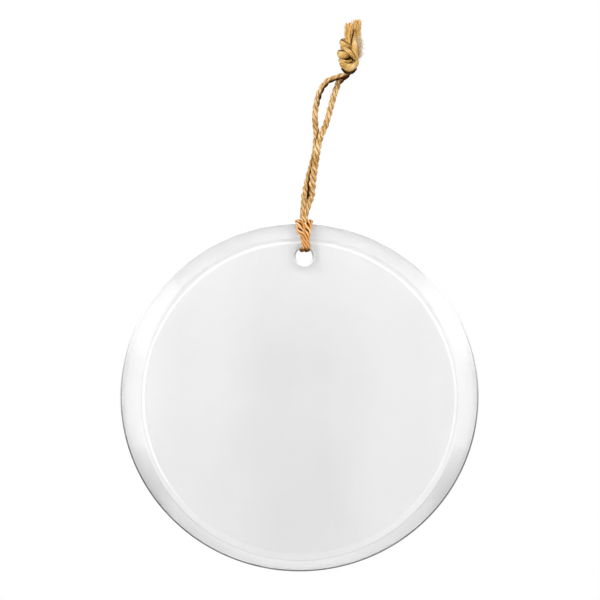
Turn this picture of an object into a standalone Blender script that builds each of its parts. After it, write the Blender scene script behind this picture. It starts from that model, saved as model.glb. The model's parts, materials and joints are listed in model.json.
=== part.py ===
"""Souvenir Christmas ornament: a round bevelled glass blank on a knotted loop of jute twine.

Metres, +Z up, front towards -Y. The origin is the top of the twine loop's opening, just under
the knot, where a hook or a branch carries the ornament. Everything below the loop is placed
from the neck, the squeezed stretch where the two strands enter the hitch:

    knot, frayed ends and strands   fixed, held by the loop
    neck_upper                      twists about the line of the twine
    neck_lower                      folds forwards and backwards about X
    hitch, glass and back coating   swing sideways about Y
"""

import math

import bmesh
import bpy
from mathutils import Matrix, Vector

# ---------------------------------------------------------------- driving dimensions
DISC_WIDTH = 0.0890
DISC_HEIGHT = 0.0868
GLASS_THICKNESS = 0.0034
COATING_THICKNESS = 0.0003
COATING_INSET = 0.0006
RIM_THICKNESS = 0.0020
RIM_ARRIS = 0.0002
BEVEL_SIDE = 0.00555
BEVEL_TOP = 0.00515
BEVEL_BOTTOM = 0.00375
PLAIN_FACE_INSET = 0.0100

HOLE_DIAMETER = 0.0042
HOLE_CHAMFER = 0.0006
HOLE_TO_RIM = 0.0085
HOLE_SIDE_OFFSET = 0.00113

STRAND_DIAMETER = 0.0014
HITCH_DIAMETER = 0.0009
PIECE_GAP = 0.0003

NECK_TWIST = Vector((-0.00606, 0.0, -0.0282))
NECK_SWING = Vector((-0.00687, 0.0, -0.0320))
FOLD_ABOVE_SWING = 0.0016
SWING_HALF_GAP_BELOW = 0.0005
SWING_HALF_GAP_ABOVE = 0.00035
FOLD_HALF_GAP = 0.0005
NECK_ROUNDING = 0.0003
NECK_HALF_DEPTH = 0.0007
NECK_HALF_WIDTH_TOP = 0.00145
NECK_HALF_WIDTH_FOLD = 0.00105
NECK_HALF_WIDTH_SWING = 0.00085

KNOT_CENTRE = Vector((0.00406, 0.0005, 0.0071))
KNOT_SIZE = Vector((0.0050, 0.0048, 0.0080))
FRAYED_BASE_RADIUS = 0.00075
FRAYED_TIP_RADIUS = 0.00100
FRAYED_BASE_Z = 0.01145
FRAYED_ROUTES = {
    "frayed_end_left": [(0.00420, 0.0004, 0.0), (0.00405, 0.0002, 0.0019), (0.00405, 0.0, 0.00385)],
    "frayed_end_right": [(0.00610, 0.0005, -0.0004), (0.00625, 0.0003, 0.0026), (0.00635, 0.0, 0.00535)],
}

# Hand-chosen points of each strand above the neck, from the neck up to the knot.
LEFT_ROUTE = [
    (-0.00594, 0.00050, -0.0235),
    (-0.00444, 0.00075, -0.0183),
    (-0.00415, 0.00085, -0.0163),
    (-0.00385, 0.00075, -0.0133),
    (-0.00390, 0.00050, -0.0110),
    (-0.00412, 0.00025, -0.0088),
    (-0.00407, 0.00005, -0.0064),
    (-0.00355, -0.00010, -0.0036),
    (-0.00270, -0.00020, -0.0011),
    (-0.00116, -0.00030, 0.0009),
    (0.00048, -0.00030, 0.0017),
    (0.00300, -0.00010, 0.00250),
]
RIGHT_ROUTE = [
    (-0.00459, -0.00055, -0.0235),
    (-0.00387, -0.00090, -0.0180),
    (-0.00345, -0.00095, -0.0156),
    (-0.00295, -0.00080, -0.0133),
    (-0.00225, -0.00050, -0.0115),
    (-0.00148, -0.00015, -0.0098),
    (-0.00086, 0.00015, -0.0077),
    (-0.00027, 0.00045, -0.0055),
    (0.00033, 0.00080, -0.0033),
    (0.00108, 0.00130, -0.0009),
    (0.00182, 0.00155, 0.0009),
    (0.00335, 0.00150, 0.0023),
]

# ---------------------------------------------------------------- fineness of the shapes
ROUND_SEGMENTS = 96
HOLE_SEGMENTS = 32
NECK_SEGMENTS = 20
ROUTE_SPACING = 0.0015
ARC_STEPS = 5
TUBE_RESOLUTION = 2
CUTTER_OVERSHOOT = 0.001

# ---------------------------------------------------------------- what follows from them
FRONT_Y = -(GLASS_THICKNESS + PIECE_GAP + COATING_THICKNESS) / 2
GLASS_BACK_Y = FRONT_Y + GLASS_THICKNESS
COATING_FRONT_Y = GLASS_BACK_Y + PIECE_GAP
BACK_Y = COATING_FRONT_Y + COATING_THICKNESS
RIM_FRONT_Y = GLASS_BACK_Y - RIM_THICKNESS

HITCH_CLEARANCE = HITCH_DIAMETER / 2 + PIECE_GAP
LEG_OFFSET = (HITCH_DIAMETER + PIECE_GAP) / 2
BIGHT_OFFSET = LEG_OFFSET + HITCH_DIAMETER + PIECE_GAP
LEG_TOP_Z = NECK_SWING.z - SWING_HALF_GAP_BELOW
RIM_TOP_Z = LEG_TOP_Z - 2 * HITCH_CLEARANCE

HOLE_X = NECK_SWING.x
HOLE_Z = RIM_TOP_Z - HOLE_TO_RIM
HOLE_RADIUS = HOLE_DIAMETER / 2
DISC_X = HOLE_X - HOLE_SIDE_OFFSET
DISC_Z = RIM_TOP_Z - DISC_HEIGHT / 2
FACE_HALF_WIDTH = DISC_WIDTH / 2 - BEVEL_SIDE
FACE_HALF_HEIGHT = (DISC_HEIGHT - BEVEL_TOP - BEVEL_BOTTOM) / 2
FACE_Z = DISC_Z - (BEVEL_TOP - BEVEL_BOTTOM) / 2

TWINE_LINE = (NECK_TWIST - NECK_SWING).normalized()
TWINE_SIDE = Vector((TWINE_LINE.z, 0.0, -TWINE_LINE.x))
NECK_FOLD = NECK_SWING + TWINE_LINE * (FOLD_ABOVE_SWING / TWINE_LINE.z)
STRAND_OFFSET = (STRAND_DIAMETER + PIECE_GAP) / 2


# ---------------------------------------------------------------- finishes
def finish(name, colour, roughness, transmission=0.0):
    """A Principled material of one colour; none of the ornament's pieces is metal."""
    material = bpy.data.materials.new(name)
    material.use_nodes = True
    shader = material.node_tree.nodes["Principled BSDF"]
    shader.inputs["Base Color"].default_value = (*colour, 1.0)
    shader.inputs["Roughness"].default_value = roughness
    shader.inputs["Metallic"].default_value = 0.0
    shader.inputs["Transmission Weight"].default_value = transmission
    material.diffuse_color = (*colour, 1.0)
    return material


# ---------------------------------------------------------------- placing
def pivot(name, place, parent=None):
    """An empty on a joint's axis; its pieces hang from it."""
    empty = bpy.data.objects.new(name, None)
    bpy.context.scene.collection.objects.link(empty)
    empty.empty_display_size = 0.003
    empty.parent = parent
    empty.location = place - (world_place(parent) if parent else Vector())
    return empty


def world_place(obj):
    """Where an unturned object and its unturned parents put its origin."""
    place = Vector()
    while obj:
        place += obj.location
        obj = obj.parent
    return place


def add_piece(name, data, material, parent=None):
    """One named object whose data was made in world places, with its origin at its pivot."""
    obj = bpy.data.objects.new(name, data)
    bpy.context.scene.collection.objects.link(obj)
    data.materials.append(material)
    if parent:
        data.transform(Matrix.Translation(-world_place(parent)))
        obj.parent = parent
    return obj


def mesh_of(bm, name):
    """The bmesh as a mesh, shaded smooth with its edges kept sharp."""
    bmesh.ops.recalc_face_normals(bm, faces=bm.faces[:])
    mesh = bpy.data.meshes.new(name)
    bm.to_mesh(mesh)
    bm.free()
    mesh.shade_smooth()
    mesh.set_sharp_from_angle(angle=math.radians(30))
    return mesh


def loop_edges(verts):
    """The edges of a closed loop, each once, in the order of its points."""
    return [edge for vert in verts for edge in vert.link_edges if edge.verts[0] == vert]


# ---------------------------------------------------------------- glass
def upright_loop(bm, half_width, half_height, x, y, z, segments=ROUND_SEGMENTS):
    """An oval of edges that stands in a plane facing the front; returns its edges."""
    made = bmesh.ops.create_circle(bm, segments=segments, radius=1.0)
    place = Matrix.Translation((x, y, z)) @ Matrix.Rotation(math.pi / 2, 4, "X")
    shape = Matrix.Diagonal((half_width, half_height, 1.0, 1.0))
    bmesh.ops.transform(bm, matrix=place @ shape, verts=made["verts"])
    return loop_edges(made["verts"])


def skin_loops(bm, loops):
    """Joins each loop to the next, edge by edge in their order, and closes the first and the last."""
    for low, high in zip(loops, loops[1:]):
        for edge, partner in zip(low, high):
            bm.faces.new((*edge.verts, *reversed(partner.verts)))
    for end in (loops[0], loops[-1]):
        bmesh.ops.contextual_create(bm, geom=end)


def glass_mesh():
    """The blank: a flat face, a wide bevel down to a thin ground rim, and a flat back."""
    half_width = DISC_WIDTH / 2
    half_height = DISC_HEIGHT / 2
    plain_width = FACE_HALF_WIDTH - PLAIN_FACE_INSET
    plain_height = FACE_HALF_HEIGHT - PLAIN_FACE_INSET
    bm = bmesh.new()
    skin_loops(bm, [
        upright_loop(bm, plain_width, plain_height, DISC_X, FRONT_Y, FACE_Z),
        upright_loop(bm, FACE_HALF_WIDTH, FACE_HALF_HEIGHT, DISC_X, FRONT_Y, FACE_Z),
        upright_loop(bm, half_width - RIM_ARRIS, half_height - RIM_ARRIS, DISC_X, RIM_FRONT_Y, DISC_Z),
        upright_loop(bm, half_width, half_height, DISC_X, RIM_FRONT_Y + RIM_ARRIS, DISC_Z),
        upright_loop(bm, half_width, half_height, DISC_X, GLASS_BACK_Y - RIM_ARRIS, DISC_Z),
        upright_loop(bm, half_width - RIM_ARRIS, half_height - RIM_ARRIS, DISC_X, GLASS_BACK_Y, DISC_Z),
        upright_loop(bm, plain_width, plain_height, DISC_X, GLASS_BACK_Y, FACE_Z),
    ])
    return mesh_of(bm, "glass_disc")


def coating_mesh():
    """The white film on the back, a little smaller than the glass."""
    half_width = DISC_WIDTH / 2 - RIM_ARRIS - COATING_INSET
    half_height = DISC_HEIGHT / 2 - RIM_ARRIS - COATING_INSET
    plain_width = FACE_HALF_WIDTH - PLAIN_FACE_INSET
    plain_height = FACE_HALF_HEIGHT - PLAIN_FACE_INSET
    bm = bmesh.new()
    skin_loops(bm, [
        upright_loop(bm, plain_width, plain_height, DISC_X, COATING_FRONT_Y, FACE_Z),
        upright_loop(bm, half_width, half_height, DISC_X, COATING_FRONT_Y, DISC_Z),
        upright_loop(bm, half_width, half_height, DISC_X, BACK_Y, DISC_Z),
        upright_loop(bm, plain_width, plain_height, DISC_X, BACK_Y, FACE_Z),
    ])
    return mesh_of(bm, "back_coating")


def hole_cutter(name, stations):
    """A turned plug along Y through the hanging hole, from (y, radius) stations."""
    bm = bmesh.new()
    skin_loops(bm, [
        upright_loop(bm, radius, radius, HOLE_X, y, HOLE_Z, HOLE_SEGMENTS) for y, radius in stations
    ])
    obj = bpy.data.objects.new(name, mesh_of(bm, name))
    bpy.context.scene.collection.objects.link(obj)
    obj.hide_render = True
    obj.display_type = "WIRE"
    return obj


def cut(obj, cutter):
    """Takes the cutter's shape out of the object."""
    modifier = obj.modifiers.new("hanging_hole", "BOOLEAN")
    modifier.operation = "DIFFERENCE"
    modifier.solver = "EXACT"
    modifier.object = cutter


def drilled_and_chamfered():
    """The glass's hole: a straight bore with a chamfer at the front and at the back."""
    lip = HOLE_CHAMFER
    reach = CUTTER_OVERSHOOT
    return hole_cutter("glass_hole_cutter", [
        (FRONT_Y - reach, HOLE_RADIUS + lip + reach),
        (FRONT_Y + lip, HOLE_RADIUS),
        (GLASS_BACK_Y - lip / 2, HOLE_RADIUS),
        (GLASS_BACK_Y + reach, HOLE_RADIUS + lip / 2 + reach),
    ])


def masked_hole():
    """The coating stops short of the hole's back chamfer."""
    radius = HOLE_RADIUS + HOLE_CHAMFER / 2 + COATING_INSET
    return hole_cutter("coating_hole_cutter", [
        (COATING_FRONT_Y - CUTTER_OVERSHOOT, radius),
        (BACK_Y + CUTTER_OVERSHOOT, radius),
    ])


# ---------------------------------------------------------------- twine
def smooth_route(points, spacing):
    """Points at an even spacing on the Catmull-Rom curve through the route's own points."""
    route = [Vector(point) for point in points]
    padded = [2 * route[0] - route[1], *route, 2 * route[-1] - route[-2]]
    fine = []
    for before, start, end, after in zip(padded, padded[1:], padded[2:], padded[3:]):
        for step in range(24):
            t = step / 24
            fine.append(0.5 * (
                2 * start
                + (end - before) * t
                + (2 * before - 5 * start + 4 * end - after) * t**2
                + (3 * start - before - 3 * end + after) * t**3
            ))
    fine.append(route[-1])
    lengths = [0.0]
    for start, end in zip(fine, fine[1:]):
        lengths.append(lengths[-1] + (end - start).length)
    count = max(2, round(lengths[-1] / spacing))
    even = []
    index = 0
    for number in range(count + 1):
        target = lengths[-1] * number / count
        while index < len(fine) - 2 and lengths[index + 1] < target:
            index += 1
        share = (target - lengths[index]) / (lengths[index + 1] - lengths[index])
        even.append(fine[index].lerp(fine[index + 1], min(share, 1.0)))
    return even


def tube(name, points, radius, material, parent=None, tip_scale=1.0):
    """A round cord along the points, with closed ends, growing to tip_scale at its far end."""
    curve = bpy.data.curves.new(name, "CURVE")
    curve.dimensions = "3D"
    curve.bevel_depth = radius
    curve.bevel_resolution = TUBE_RESOLUTION
    curve.use_fill_caps = True
    spline = curve.splines.new("POLY")
    spline.points.add(len(points) - 1)
    for number, point in enumerate(points):
        spline.points[number].co = (*point, 1.0)
        spline.points[number].radius = 1.0 + (tip_scale - 1.0) * number / (len(points) - 1)
    return add_piece(name, curve, material, parent)


def strand_points(side, route):
    """A strand from its seat on the neck, straight along the twine's line, then up its route."""
    seat = NECK_TWIST + TWINE_SIDE * side * STRAND_OFFSET + TWINE_LINE * PIECE_GAP / 2
    straight = seat + TWINE_LINE * STRAND_DIAMETER
    return smooth_route([seat, straight, *route], ROUTE_SPACING)


def quarter(centre, start, end, radius):
    """Points of an arc in the YZ plane about centre, between two angles in degrees."""
    points = []
    for step in range(ARC_STEPS + 1):
        angle = math.radians(start + (end - start) * step / ARC_STEPS)
        points.append((centre[0] + radius * math.cos(angle), centre[1] + radius * math.sin(angle)))
    return points


def leg_heights():
    """The leg's line in the YZ plane: over the rim, down the back, through the hole, up the front."""
    clear = HITCH_CLEARANCE
    reach = HOLE_RADIUS - clear
    pass_z = HOLE_Z + math.sqrt(reach**2 - LEG_OFFSET**2)
    turn_z = pass_z + clear
    over_back = quarter((clear, LEG_TOP_Z), 180, 270, clear)
    down_back = quarter((BACK_Y, RIM_TOP_Z), 90, 0, clear)
    into_hole = quarter((BACK_Y, turn_z), 0, -90, clear)
    out_of_hole = quarter((FRONT_Y, turn_z), -90, -180, clear)
    face_top_z = FACE_Z + FACE_HALF_HEIGHT
    up_front = [
        (FRONT_Y - clear, face_top_z),
        (RIM_FRONT_Y - clear, RIM_TOP_Z - PIECE_GAP / 2),
    ]
    return over_back, down_back + into_hole, out_of_hole, up_front


def leg_points(side):
    """The same line in space: close to its twin behind and in the hole, spreading up the front."""
    over_back, down_and_in, out, up_front = leg_heights()
    near = HOLE_X + side * LEG_OFFSET
    far = HOLE_X + side * BIGHT_OFFSET
    points = [Vector((near, y, z)) for y, z in over_back + down_and_in + out]
    (face_y, face_z), (rim_y, rim_z) = up_front
    middle = near + (far - near) * 0.3
    points.append(Vector((middle, face_y, face_z)))
    points.append(Vector((middle + (far - middle) * 0.55, (face_y + rim_y) / 2, (face_z + rim_z) / 2)))
    points.append(Vector((far, rim_y, rim_z)))
    return points


def bight_points():
    """From one front leg over the rim, round behind both strands, and back to the other leg."""
    clear = HITCH_CLEARANCE
    rise = [
        Vector((0.0, y, z)) for y, z in quarter((RIM_FRONT_Y, RIM_TOP_Z + PIECE_GAP / 2), 180, 90, clear)
    ]
    turn_y = BACK_Y + clear
    steps = 3 * ARC_STEPS
    left = [Vector((HOLE_X - BIGHT_OFFSET, point.y, point.z)) for point in rise]
    right = [Vector((HOLE_X + BIGHT_OFFSET, point.y, point.z)) for point in reversed(rise)]
    top_z = rise[-1].z
    back = []
    for step in range(steps + 1):
        angle = math.pi - math.pi * step / steps
        x = HOLE_X + BIGHT_OFFSET * math.cos(angle)
        back.append(Vector((x, turn_y + BIGHT_OFFSET * math.sin(angle), top_z)))
    return left + back + right


def neck_mesh(name, low, high, width_low, width_high):
    """The two strands squeezed side by side: an oval column with rounded ends."""
    line = (high - low).normalized()
    side = Vector((line.z, 0.0, -line.x))
    bm = bmesh.new()
    loops = []
    for place, half_width in ((low, width_low), (high, width_high)):
        made = bmesh.ops.create_circle(bm, segments=NECK_SEGMENTS, radius=1.0)
        turn = Matrix((side, Vector((0.0, 1.0, 0.0)), line)).transposed().to_4x4()
        shape = Matrix.Diagonal((half_width, NECK_HALF_DEPTH, 1.0, 1.0))
        bmesh.ops.transform(bm, matrix=Matrix.Translation(place) @ turn @ shape, verts=made["verts"])
        loops.append(loop_edges(made["verts"]))
    skin_loops(bm, loops)
    ends = [edge for loop in loops for edge in loop]
    bmesh.ops.bevel(
        bm, geom=ends, offset=NECK_ROUNDING, offset_type="OFFSET", segments=3, profile=0.5,
        affect="EDGES", material=-1,
    )
    return mesh_of(bm, name)


def knot_mesh():
    """The outer shape of the overhand knot, taller than it is wide."""
    bm = bmesh.new()
    bmesh.ops.create_uvsphere(bm, u_segments=24, v_segments=16, radius=0.5)
    bmesh.ops.transform(
        bm, matrix=Matrix.Translation(KNOT_CENTRE) @ Matrix.Diagonal((*KNOT_SIZE, 1.0)), verts=bm.verts[:]
    )
    return mesh_of(bm, "knot")


# ---------------------------------------------------------------- the ornament
def build_hanger(jute):
    """The held part of the twine: two strands, the knot and its frayed ends."""
    tube("strand_left", strand_points(-1, LEFT_ROUTE), STRAND_DIAMETER / 2, jute)
    tube("strand_right", strand_points(1, RIGHT_ROUTE), STRAND_DIAMETER / 2, jute)
    add_piece("knot", knot_mesh(), jute)
    tip_scale = FRAYED_TIP_RADIUS / FRAYED_BASE_RADIUS
    for name, route in FRAYED_ROUTES.items():
        points = smooth_route([(x, y, FRAYED_BASE_Z + z) for x, y, z in route], STRAND_DIAMETER)
        tube(name, points, FRAYED_BASE_RADIUS, jute, tip_scale=tip_scale)


def build_neck(jute, twist_axis, fold_axis):
    """The two short squeezed stretches at which the twine turns and folds."""
    add_piece("neck_upper", neck_mesh(
        "neck_upper", NECK_FOLD + TWINE_LINE * FOLD_HALF_GAP, NECK_TWIST - TWINE_LINE * PIECE_GAP / 2,
        NECK_HALF_WIDTH_FOLD, NECK_HALF_WIDTH_TOP,
    ), jute, twist_axis)
    add_piece("neck_lower", neck_mesh(
        "neck_lower", NECK_SWING + TWINE_LINE * SWING_HALF_GAP_ABOVE, NECK_FOLD - TWINE_LINE * FOLD_HALF_GAP,
        NECK_HALF_WIDTH_SWING, NECK_HALF_WIDTH_FOLD,
    ), jute, fold_axis)


def build_pendant(jute, swing_axis):
    """The hitch, and the glass and its back coating that hang in it."""
    glass = finish("clear_glass", (0.90, 0.92, 0.92), 0.04, transmission=0.6)
    white = finish("white_coating", (0.90, 0.90, 0.90), 0.35)
    for name, side in (("hitch_leg_left", -1), ("hitch_leg_right", 1)):
        tube(name, leg_points(side), HITCH_DIAMETER / 2, jute, swing_axis)
    tube("hitch_bight", bight_points(), HITCH_DIAMETER / 2, jute, swing_axis)
    disc = add_piece("glass_disc", glass_mesh(), glass, swing_axis)
    coating = add_piece("back_coating", coating_mesh(), white, swing_axis)
    cut(disc, drilled_and_chamfered())
    cut(coating, masked_hole())


def main():
    for obj in list(bpy.data.objects):
        bpy.data.objects.remove(obj)
    jute = finish("jute", (0.62, 0.40, 0.16), 0.9)
    dark_jute = finish("jute_hitch", (0.62, 0.32, 0.10), 0.9)
    twist_axis = pivot("twist_axis", NECK_TWIST)
    fold_axis = pivot("fold_axis", NECK_FOLD, twist_axis)
    swing_axis = pivot("swing_axis", NECK_SWING, fold_axis)
    build_hanger(jute)
    build_neck(jute, twist_axis, fold_axis)
    build_pendant(dark_jute, swing_axis)


main()
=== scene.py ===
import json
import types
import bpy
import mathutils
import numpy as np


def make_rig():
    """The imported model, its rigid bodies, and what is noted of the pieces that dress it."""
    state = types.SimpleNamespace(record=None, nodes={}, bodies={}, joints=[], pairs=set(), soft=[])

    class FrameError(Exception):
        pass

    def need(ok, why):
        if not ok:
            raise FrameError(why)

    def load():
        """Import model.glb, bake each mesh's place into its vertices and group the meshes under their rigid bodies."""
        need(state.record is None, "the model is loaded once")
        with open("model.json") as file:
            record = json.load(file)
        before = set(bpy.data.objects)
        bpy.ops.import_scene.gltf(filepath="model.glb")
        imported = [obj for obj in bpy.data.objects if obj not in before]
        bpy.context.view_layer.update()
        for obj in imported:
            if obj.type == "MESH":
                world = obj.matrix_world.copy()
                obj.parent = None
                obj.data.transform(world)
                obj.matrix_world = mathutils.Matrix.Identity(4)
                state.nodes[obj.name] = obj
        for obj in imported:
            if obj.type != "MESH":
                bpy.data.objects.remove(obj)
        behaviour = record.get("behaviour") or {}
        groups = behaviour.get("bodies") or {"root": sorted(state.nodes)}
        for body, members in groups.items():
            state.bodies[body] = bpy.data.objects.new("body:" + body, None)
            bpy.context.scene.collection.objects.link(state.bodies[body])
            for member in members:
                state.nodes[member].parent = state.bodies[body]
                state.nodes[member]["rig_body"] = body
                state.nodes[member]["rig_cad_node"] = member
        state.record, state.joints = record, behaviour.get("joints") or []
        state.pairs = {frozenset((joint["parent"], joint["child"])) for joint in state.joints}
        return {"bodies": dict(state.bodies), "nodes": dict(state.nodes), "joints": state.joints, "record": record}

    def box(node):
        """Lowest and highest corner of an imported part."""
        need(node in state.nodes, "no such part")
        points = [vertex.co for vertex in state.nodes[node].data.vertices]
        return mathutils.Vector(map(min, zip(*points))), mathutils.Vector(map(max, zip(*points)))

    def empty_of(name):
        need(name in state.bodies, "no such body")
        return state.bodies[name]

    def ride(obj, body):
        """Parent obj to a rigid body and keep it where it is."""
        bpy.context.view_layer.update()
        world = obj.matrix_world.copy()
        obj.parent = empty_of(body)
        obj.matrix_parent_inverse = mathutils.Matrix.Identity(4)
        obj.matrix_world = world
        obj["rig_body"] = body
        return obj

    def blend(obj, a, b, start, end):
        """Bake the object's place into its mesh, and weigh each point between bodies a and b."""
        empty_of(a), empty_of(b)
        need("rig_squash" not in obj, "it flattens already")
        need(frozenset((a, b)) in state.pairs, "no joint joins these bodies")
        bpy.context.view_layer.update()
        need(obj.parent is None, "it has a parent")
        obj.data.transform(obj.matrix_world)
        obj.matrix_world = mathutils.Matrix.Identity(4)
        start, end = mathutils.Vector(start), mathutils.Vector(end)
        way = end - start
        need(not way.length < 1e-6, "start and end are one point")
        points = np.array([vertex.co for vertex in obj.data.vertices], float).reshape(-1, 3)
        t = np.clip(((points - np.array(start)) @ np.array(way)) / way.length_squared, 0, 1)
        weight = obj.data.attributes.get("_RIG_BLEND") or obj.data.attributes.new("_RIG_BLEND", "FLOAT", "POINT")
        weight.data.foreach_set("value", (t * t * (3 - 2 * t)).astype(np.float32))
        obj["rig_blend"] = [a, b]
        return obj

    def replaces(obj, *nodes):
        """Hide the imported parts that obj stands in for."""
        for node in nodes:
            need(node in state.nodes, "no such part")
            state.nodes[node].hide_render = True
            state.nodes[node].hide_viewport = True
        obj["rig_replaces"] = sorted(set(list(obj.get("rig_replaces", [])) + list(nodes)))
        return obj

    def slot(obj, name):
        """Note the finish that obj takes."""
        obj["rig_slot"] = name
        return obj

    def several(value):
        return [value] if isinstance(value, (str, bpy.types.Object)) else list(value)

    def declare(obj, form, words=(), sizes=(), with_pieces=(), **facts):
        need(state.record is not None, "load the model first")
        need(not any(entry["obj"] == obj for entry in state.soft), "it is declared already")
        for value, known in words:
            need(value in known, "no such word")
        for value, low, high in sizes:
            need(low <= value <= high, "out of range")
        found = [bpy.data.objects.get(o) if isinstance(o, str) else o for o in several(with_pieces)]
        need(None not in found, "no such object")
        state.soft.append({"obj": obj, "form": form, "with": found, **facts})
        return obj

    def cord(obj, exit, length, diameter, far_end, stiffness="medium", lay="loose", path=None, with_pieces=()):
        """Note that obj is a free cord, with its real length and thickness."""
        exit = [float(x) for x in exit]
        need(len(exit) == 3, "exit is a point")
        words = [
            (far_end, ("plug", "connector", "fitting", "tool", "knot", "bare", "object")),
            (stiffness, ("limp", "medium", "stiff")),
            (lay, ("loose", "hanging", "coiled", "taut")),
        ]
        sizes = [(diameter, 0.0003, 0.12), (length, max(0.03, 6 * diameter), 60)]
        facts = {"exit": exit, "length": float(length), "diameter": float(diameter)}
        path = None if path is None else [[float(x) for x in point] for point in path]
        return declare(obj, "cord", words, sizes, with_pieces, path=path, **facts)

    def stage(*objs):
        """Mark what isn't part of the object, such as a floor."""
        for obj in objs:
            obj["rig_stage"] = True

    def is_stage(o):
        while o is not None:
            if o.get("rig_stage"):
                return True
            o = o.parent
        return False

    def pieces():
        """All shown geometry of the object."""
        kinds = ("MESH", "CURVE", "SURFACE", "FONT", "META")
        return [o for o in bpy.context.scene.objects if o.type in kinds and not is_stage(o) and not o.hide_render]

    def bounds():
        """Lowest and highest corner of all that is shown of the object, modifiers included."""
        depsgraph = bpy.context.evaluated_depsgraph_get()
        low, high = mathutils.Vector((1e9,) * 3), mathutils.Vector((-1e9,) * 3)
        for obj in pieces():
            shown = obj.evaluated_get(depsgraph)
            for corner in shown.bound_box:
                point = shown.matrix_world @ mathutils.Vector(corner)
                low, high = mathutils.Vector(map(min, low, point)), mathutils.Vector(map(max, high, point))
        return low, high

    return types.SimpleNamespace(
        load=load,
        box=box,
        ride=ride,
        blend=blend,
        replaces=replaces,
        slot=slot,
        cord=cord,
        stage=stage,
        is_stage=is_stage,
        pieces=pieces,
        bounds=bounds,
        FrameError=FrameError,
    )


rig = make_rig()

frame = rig.load()

# A bevelled glass disc with a white film on its back, hitched to a knotted loop of jute twine.
# Metres, Z up, the front faces -Y; the origin is the top of the loop's opening, under the knot.
import json
import logging
import math
import random
from collections.abc import Callable
from dataclasses import dataclass, field
from enum import Enum
from typing import Any

import bmesh
import bpy
from mathutils import Matrix, Vector
from mathutils.kdtree import KDTree

Colour = tuple[float, float, float]
Place = tuple[float, float, float]

MM = 0.001
GLASS_IOR = 1.5
SIZE_FILE = "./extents.json"
CAD_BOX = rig.bounds()
PLY_MAP = "ply"
SHADE = "shade"
log = logging.getLogger("ornament")


class Side(Enum):
    """A side of the object, as the viewer in front sees it."""

    LEFT = -1
    RIGHT = 1

    @property
    def word(self) -> str:
        """The side's name in small letters."""
        return self.name.lower()

    @property
    def other(self) -> "Side":
        """The opposite side."""
        return Side(-self.value)


def ease(value: float, low: float, high: float) -> float:
    """A smooth step from 0 at low to 1 at high; high may be the smaller."""
    share = min(1.0, max(0.0, (value - low) / (high - low)))
    return share * share * (3.0 - 2.0 * share)


# ---------------------------------------------------------------- shader bench
@dataclass(frozen=True)
class Wire:
    """One output of a node, which grows Math nodes when it is used in an expression."""

    bench: "Bench"
    socket: Any

    def _math(self, operation: str, *operands: Any) -> "Wire":
        """A Math node on the operands, in their order."""
        return self.bench.node("ShaderNodeMath", {"operation": operation}, dict(enumerate(operands)))

    def __add__(self, other: Any) -> "Wire":
        """Self plus other."""
        return self._math("ADD", self, other)

    __radd__ = __add__

    def __mul__(self, other: Any) -> "Wire":
        """Self times other."""
        return self._math("MULTIPLY", self, other)

    __rmul__ = __mul__

    def __sub__(self, other: Any) -> "Wire":
        """Self minus other."""
        return self._math("SUBTRACT", self, other)

    def __rsub__(self, other: Any) -> "Wire":
        """Other minus self."""
        return self._math("SUBTRACT", other, self)

    def __truediv__(self, other: Any) -> "Wire":
        """Self over other."""
        return self._math("DIVIDE", self, other)

    def size(self) -> "Wire":
        """The value without its sign."""
        return self._math("ABSOLUTE", self)

    def between(self, low: float, high: float) -> "Wire":
        """A smooth step over the value; high may be the smaller of the two.

        Args:
            low: where it is 0.
            high: where it is 1.

        Returns:
            The step's wire.
        """
        if high < low:
            return 1.0 - self.between(high, low)
        return self.bench.node(
            "ShaderNodeMapRange", {"interpolation_type": "SMOOTHSTEP"},
            {"Value": self, "From Min": low, "From Max": high},
        )


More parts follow.
